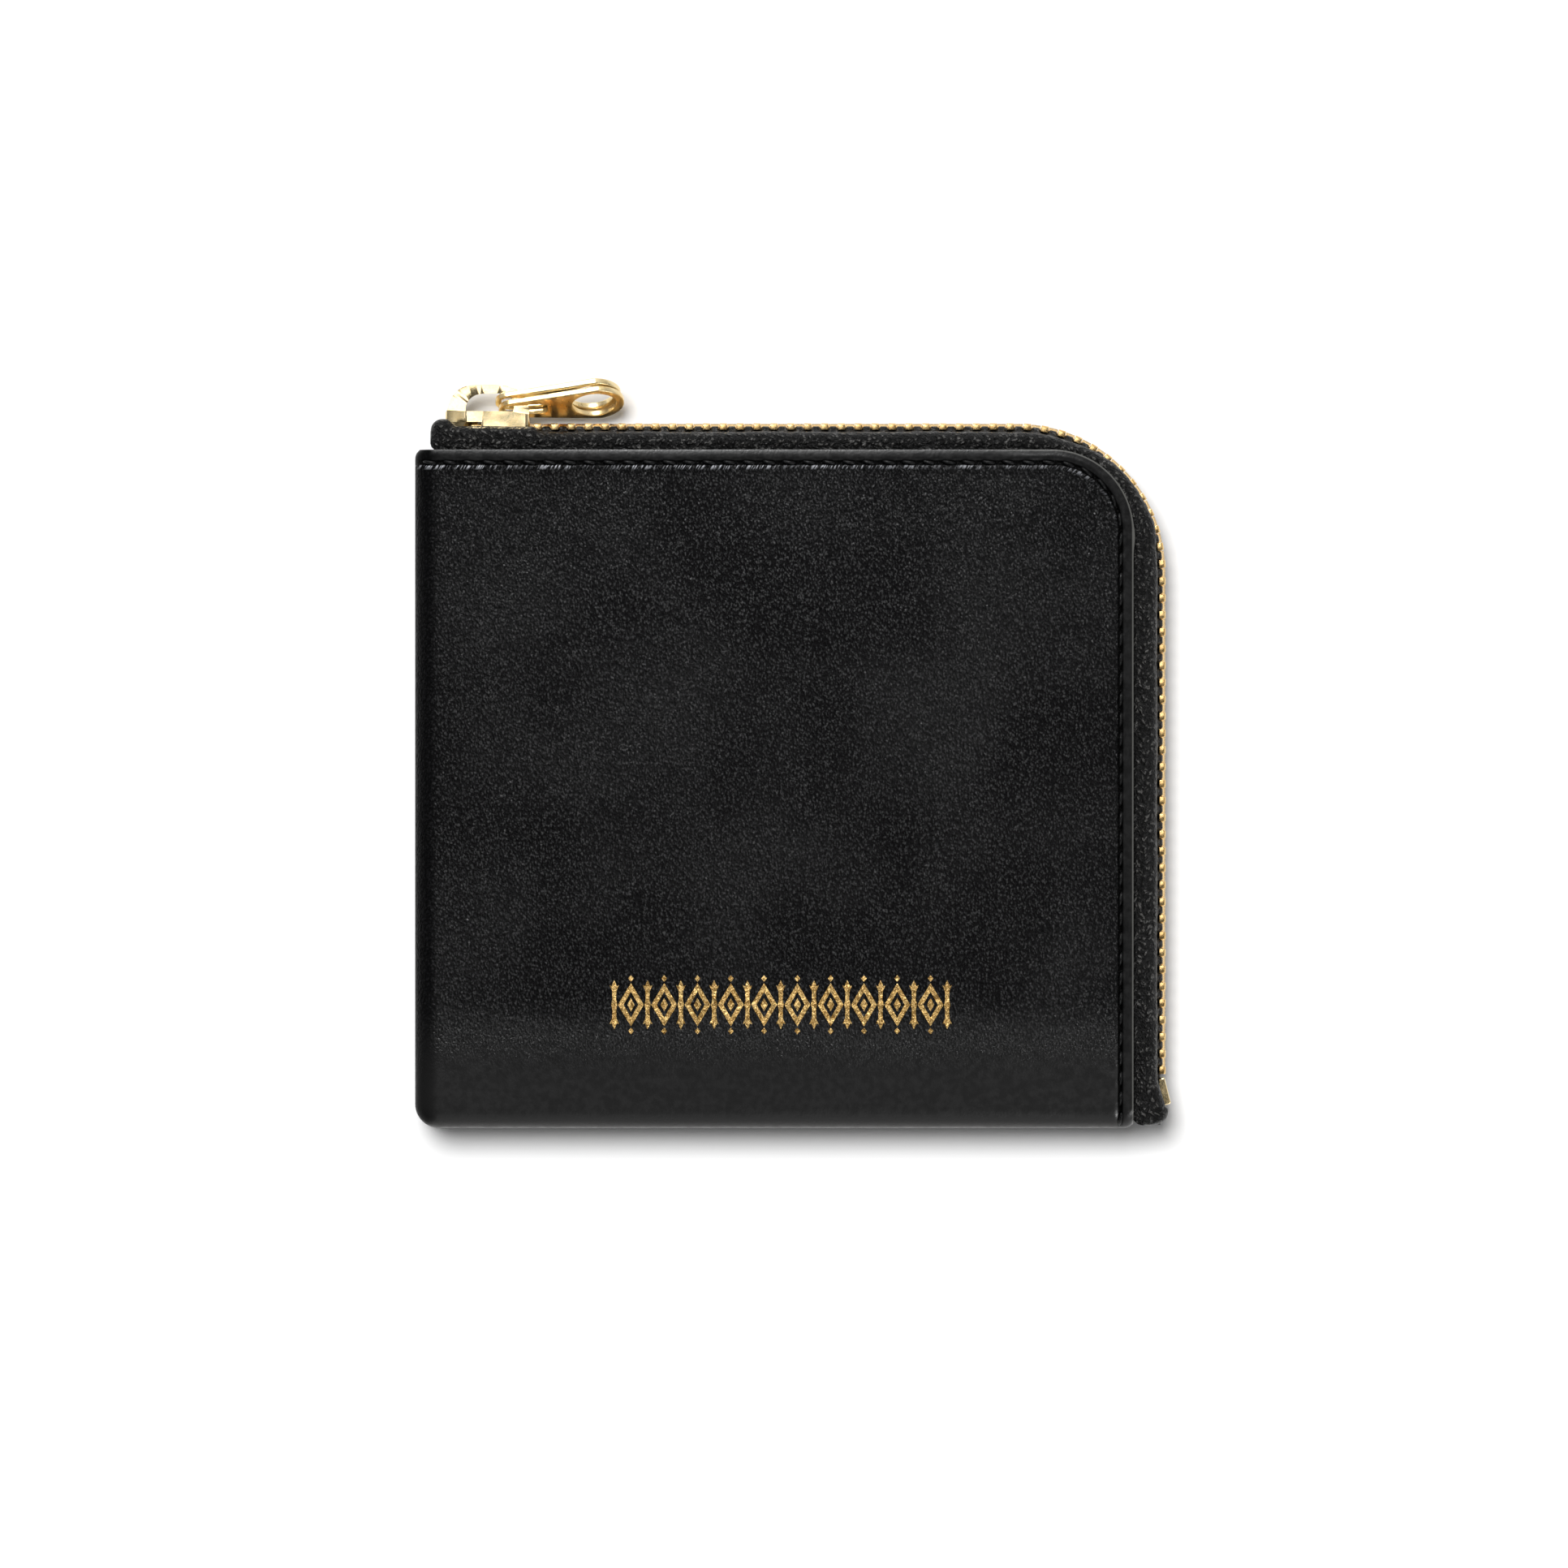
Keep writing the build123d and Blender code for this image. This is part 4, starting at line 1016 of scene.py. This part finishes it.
def coin_gusset():
    """Pleated strip that joins the coin pocket's walls along its left, bottom and right sides."""
    low, high = box_mm("coin_pocket_gusset")
    r = 2.5
    ups = np.linspace(high[1], low[1] + r, 40)
    path = [(low[0], y) for y in ups]
    turns = np.linspace(0, math.pi / 2, 10)[1:]
    path += [(low[0] + r - r * math.cos(a), low[1] + r - r * math.sin(a)) for a in turns]
    path += [(x, low[1]) for x in np.linspace(low[0] + r, high[0] - r, 60)[1:]]
    path += [(high[0] - r + r * math.sin(a), low[1] + r - r * math.cos(a)) for a in turns]
    path += [(high[0], y) for y in ups[-2::-1]]
    path = np.array(path)
    tangent = np.gradient(path, axis=0)
    tangent /= np.linalg.norm(tangent, axis=1)[:, None]
    inward = np.column_stack([-tangent[:, 1], tangent[:, 0]])
    rows = []
    for t in np.linspace(0, 1, 13):
        fold = 1.6 * (1 - abs(2 * t - 1)) ** 0.8 + 0.3
        z = low[2] + 0.03 + t * (high[2] - low[2] - 0.06)
        rows.append(np.column_stack([path + inward * fold, np.full(len(path), z)]))
    faces = grid_faces(len(rows), len(path))
    strip = new_object("coin_pocket_gusset_fold", np.concatenate(rows), faces, [LINING_MAT])
    thicken(strip, 0.3, offset=0.0)
    stand_for(strip, "lining", "coin_pocket_gusset")
    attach(strip, "wallet")


def coin_tape(node, side):
    """One woven tape of the coin pocket's zip, with the cord that its teeth grip."""
    low, high = box_mm(node)
    coin_middle = (box_mm("coin_teeth_front")[0][2] + box_mm("coin_teeth_back")[1][2]) / 2
    reach = (high[2] - coin_middle) if side > 0 else (coin_middle - low[2])
    chain_y = high[1] - 0.4
    thick, bead, bead_at = 0.36, 0.42, 1.25
    outline = [(low[1], reach), (chain_y - 0.9, reach)]
    for a in np.linspace(0, math.pi / 2, 6):
        outline.append((chain_y - 0.7 + 0.9 * math.sin(a), reach - 0.9 + 0.9 * math.cos(a)))
    for a in np.linspace(math.pi / 2, -math.pi / 2, 9):
        outline.append((chain_y + bead * math.sin(a), bead_at - bead * math.cos(a)))
    outline += [(chain_y - 0.18, reach - 1.0), (chain_y - 0.9, reach - thick), (low[1], reach - thick)]
    outline = np.array(outline)
    xs = np.linspace(low[0], high[0], 60)
    columns = len(outline)
    y, z = outline[:, 0], coin_middle + side * outline[:, 1]
    rows = [np.column_stack([np.full(columns, x), y, z]) for x in xs]
    tape = new_object(node + "_woven", np.concatenate(rows), swept_faces(len(rows), columns), [TAPE_MAT])
    around = running_length(outline)
    weave = np.concatenate([np.column_stack([np.full(columns, x - low[0]), around]) for x in xs])
    write_uv(tape, "weave", weave * MM)
    fix_normals(tape)
    stand_for(tape, "tape", node)
    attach(tape, "wallet")


# ---------------------------------------------------------------- studio
LIGHT_TARGET = (0, 0, 0.008)
METAL_TARGET = (-0.03, 0.05, 0.008)


def place_light(name, data, place, target=LIGHT_TARGET):
    """Puts a light at a place, in metres, and turns it to its target."""
    light = bpy.data.objects.new(name, data)
    bpy.context.scene.collection.objects.link(light)
    light.location = place
    light.rotation_euler = (Vector(target) - Vector(place)).to_track_quat("-Z", "Y").to_euler()
    return light


def area_light(name, place, size, power, target=LIGHT_TARGET):
    """A soft rectangular light of a size in metres and a power in watts."""
    data = bpy.data.lights.new(name, "AREA")
    data.shape = "RECTANGLE"
    data.size, data.size_y = size
    data.energy = power
    return place_light(name, data, place, target)


def lights_only(light, objects, leave_out=False):
    """Lets a light fall on the given objects alone, or on everything but them."""
    group = bpy.data.collections.new(light.name + "_falls_on")
    for obj in objects:
        group.objects.link(obj)
    if leave_out:
        for entry in group.collection_objects:
            entry.light_linking.link_state = "EXCLUDE"
    light.light_linking.receiver_collection = group


def set_stops(ramp, stops):
    """Gives a colour ramp its greys, listed as (position, value)."""
    elements = ramp.color_ramp.elements
    elements[0].position, elements[0].color = stops[0][0], grey(stops[0][1])
    elements[1].position, elements[1].color = stops[-1][0], grey(stops[-1][1])
    for position, value in stops[1:-1]:
        elements.new(position).color = grey(value)


def world_light():
    """Pale studio surroundings, dim overhead and to the left so that the leather stays dark."""
    world = bpy.data.worlds.new("studio")
    bpy.context.scene.world = world
    world.use_nodes = True
    nodes, link = world.node_tree.nodes, world.node_tree.links.new
    place = nodes.new("ShaderNodeTexCoord")
    split = nodes.new("ShaderNodeSeparateXYZ")
    link(place.outputs["Generated"], split.inputs[0])
    by_height = nodes.new("ShaderNodeValToRGB")
    link(split.outputs["Z"], by_height.inputs[0])
    set_stops(by_height, [(0.0, 0.70), (0.25, 0.90), (0.55, 0.60), (0.8, 0.32), (0.93, 0.10), (1.0, 0.07)])
    across = nodes.new("ShaderNodeMapRange")
    across.inputs["From Min"].default_value = -1.0
    link(split.outputs["X"], across.inputs["Value"])
    by_side = nodes.new("ShaderNodeValToRGB")
    link(across.outputs[0], by_side.inputs[0])
    set_stops(by_side, [(0.2, 0.06), (0.52, 1.0), (0.7, 1.0), (0.9, 0.6)])
    both = nodes.new("ShaderNodeVectorMath")
    both.operation = "MULTIPLY"
    link(by_height.outputs[0], both.inputs[0])
    link(by_side.outputs[0], both.inputs[1])
    link(both.outputs[0], nodes["Background"].inputs["Color"])
    nodes["Background"].inputs["Strength"].default_value = 0.9


def floor():
    """Pale floor, 0.05 mm under the wallet."""
    half = 3000.0
    points = [(x * half, y * half, -0.05) for x, y in ((-1, -1), (1, -1), (1, 1), (-1, 1))]
    s = Shader("pale_floor")
    mottle = s.noise(s.place(), 12.0, 2.0)
    tone = s.mix(mottle, grey(0.93), grey(0.96))
    material = s.finish(Base_Color=tone, Roughness=0.7, Specular_IOR_Level=0.2)
    plane = new_object("floor", points, [(0, 1, 2, 3)], [material], smooth=False)
    return plane


def camera():
    """Camera straight above; view_width is the width of the frame at the front face."""
    data = bpy.data.cameras.new("camera")
    view_width = 235.6 * MM
    distance = 2.6
    data.sensor_width = 36.0
    data.lens = data.sensor_width * (distance - DEPTH * MM) / view_width
    data.clip_start, data.clip_end = 0.1, 20.0
    made = bpy.data.objects.new("camera", data)
    bpy.context.scene.collection.objects.link(made)
    made.location = (1.49 * MM, 0.75 * MM, distance)
    bpy.context.scene.camera = made


def is_metal(obj):
    return obj.type == "MESH" and obj.data.materials and obj.data.materials[0] in METALS


def studio():
    """Surroundings, floor, camera and lights, some of which fall on the floor or the metal alone."""
    world_light()
    ground = floor()
    camera()
    shade = bpy.data.lights.new("shade", "SUN")
    shade.energy, shade.angle = 3.2, math.radians(21)
    lights_only(place_light("shade", shade, (-0.135, 0.21, 1.0), (0, 0, 0)), [ground])
    key = area_light("key", (-0.25, 0.95, 0.95), (0.35, 0.35), 20.0)
    lights_only(key, [ground], leave_out=True)
    fill = area_light("fill", (0.75, -0.75, 0.8), (0.4, 0.4), 6.0)
    lights_only(fill, [ground], leave_out=True)
    card = area_light("metal_card", (-0.10, 0.22, 1.5), (0.62, 0.42), 1.9, METAL_TARGET)
    shiny = [obj for obj in bpy.data.objects if is_metal(obj)]
    lights_only(card, shiny)
    side_card = area_light("metal_side_card", (-1.2, 0.05, 0.7), (0.9, 0.9), 2.4, METAL_TARGET)
    lights_only(side_card, shiny)
    bpy.context.scene.view_settings.view_transform = "Standard"


# ---------------------------------------------------------------- build
leather_shell()
stitching()
gape(main_tape("front_tape", "front_zip_tape", 1))
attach(main_tape("back_tape", "back_zip_tape", -1), "wallet")
metal_parts()
foil_ornament()
inside()
studio()
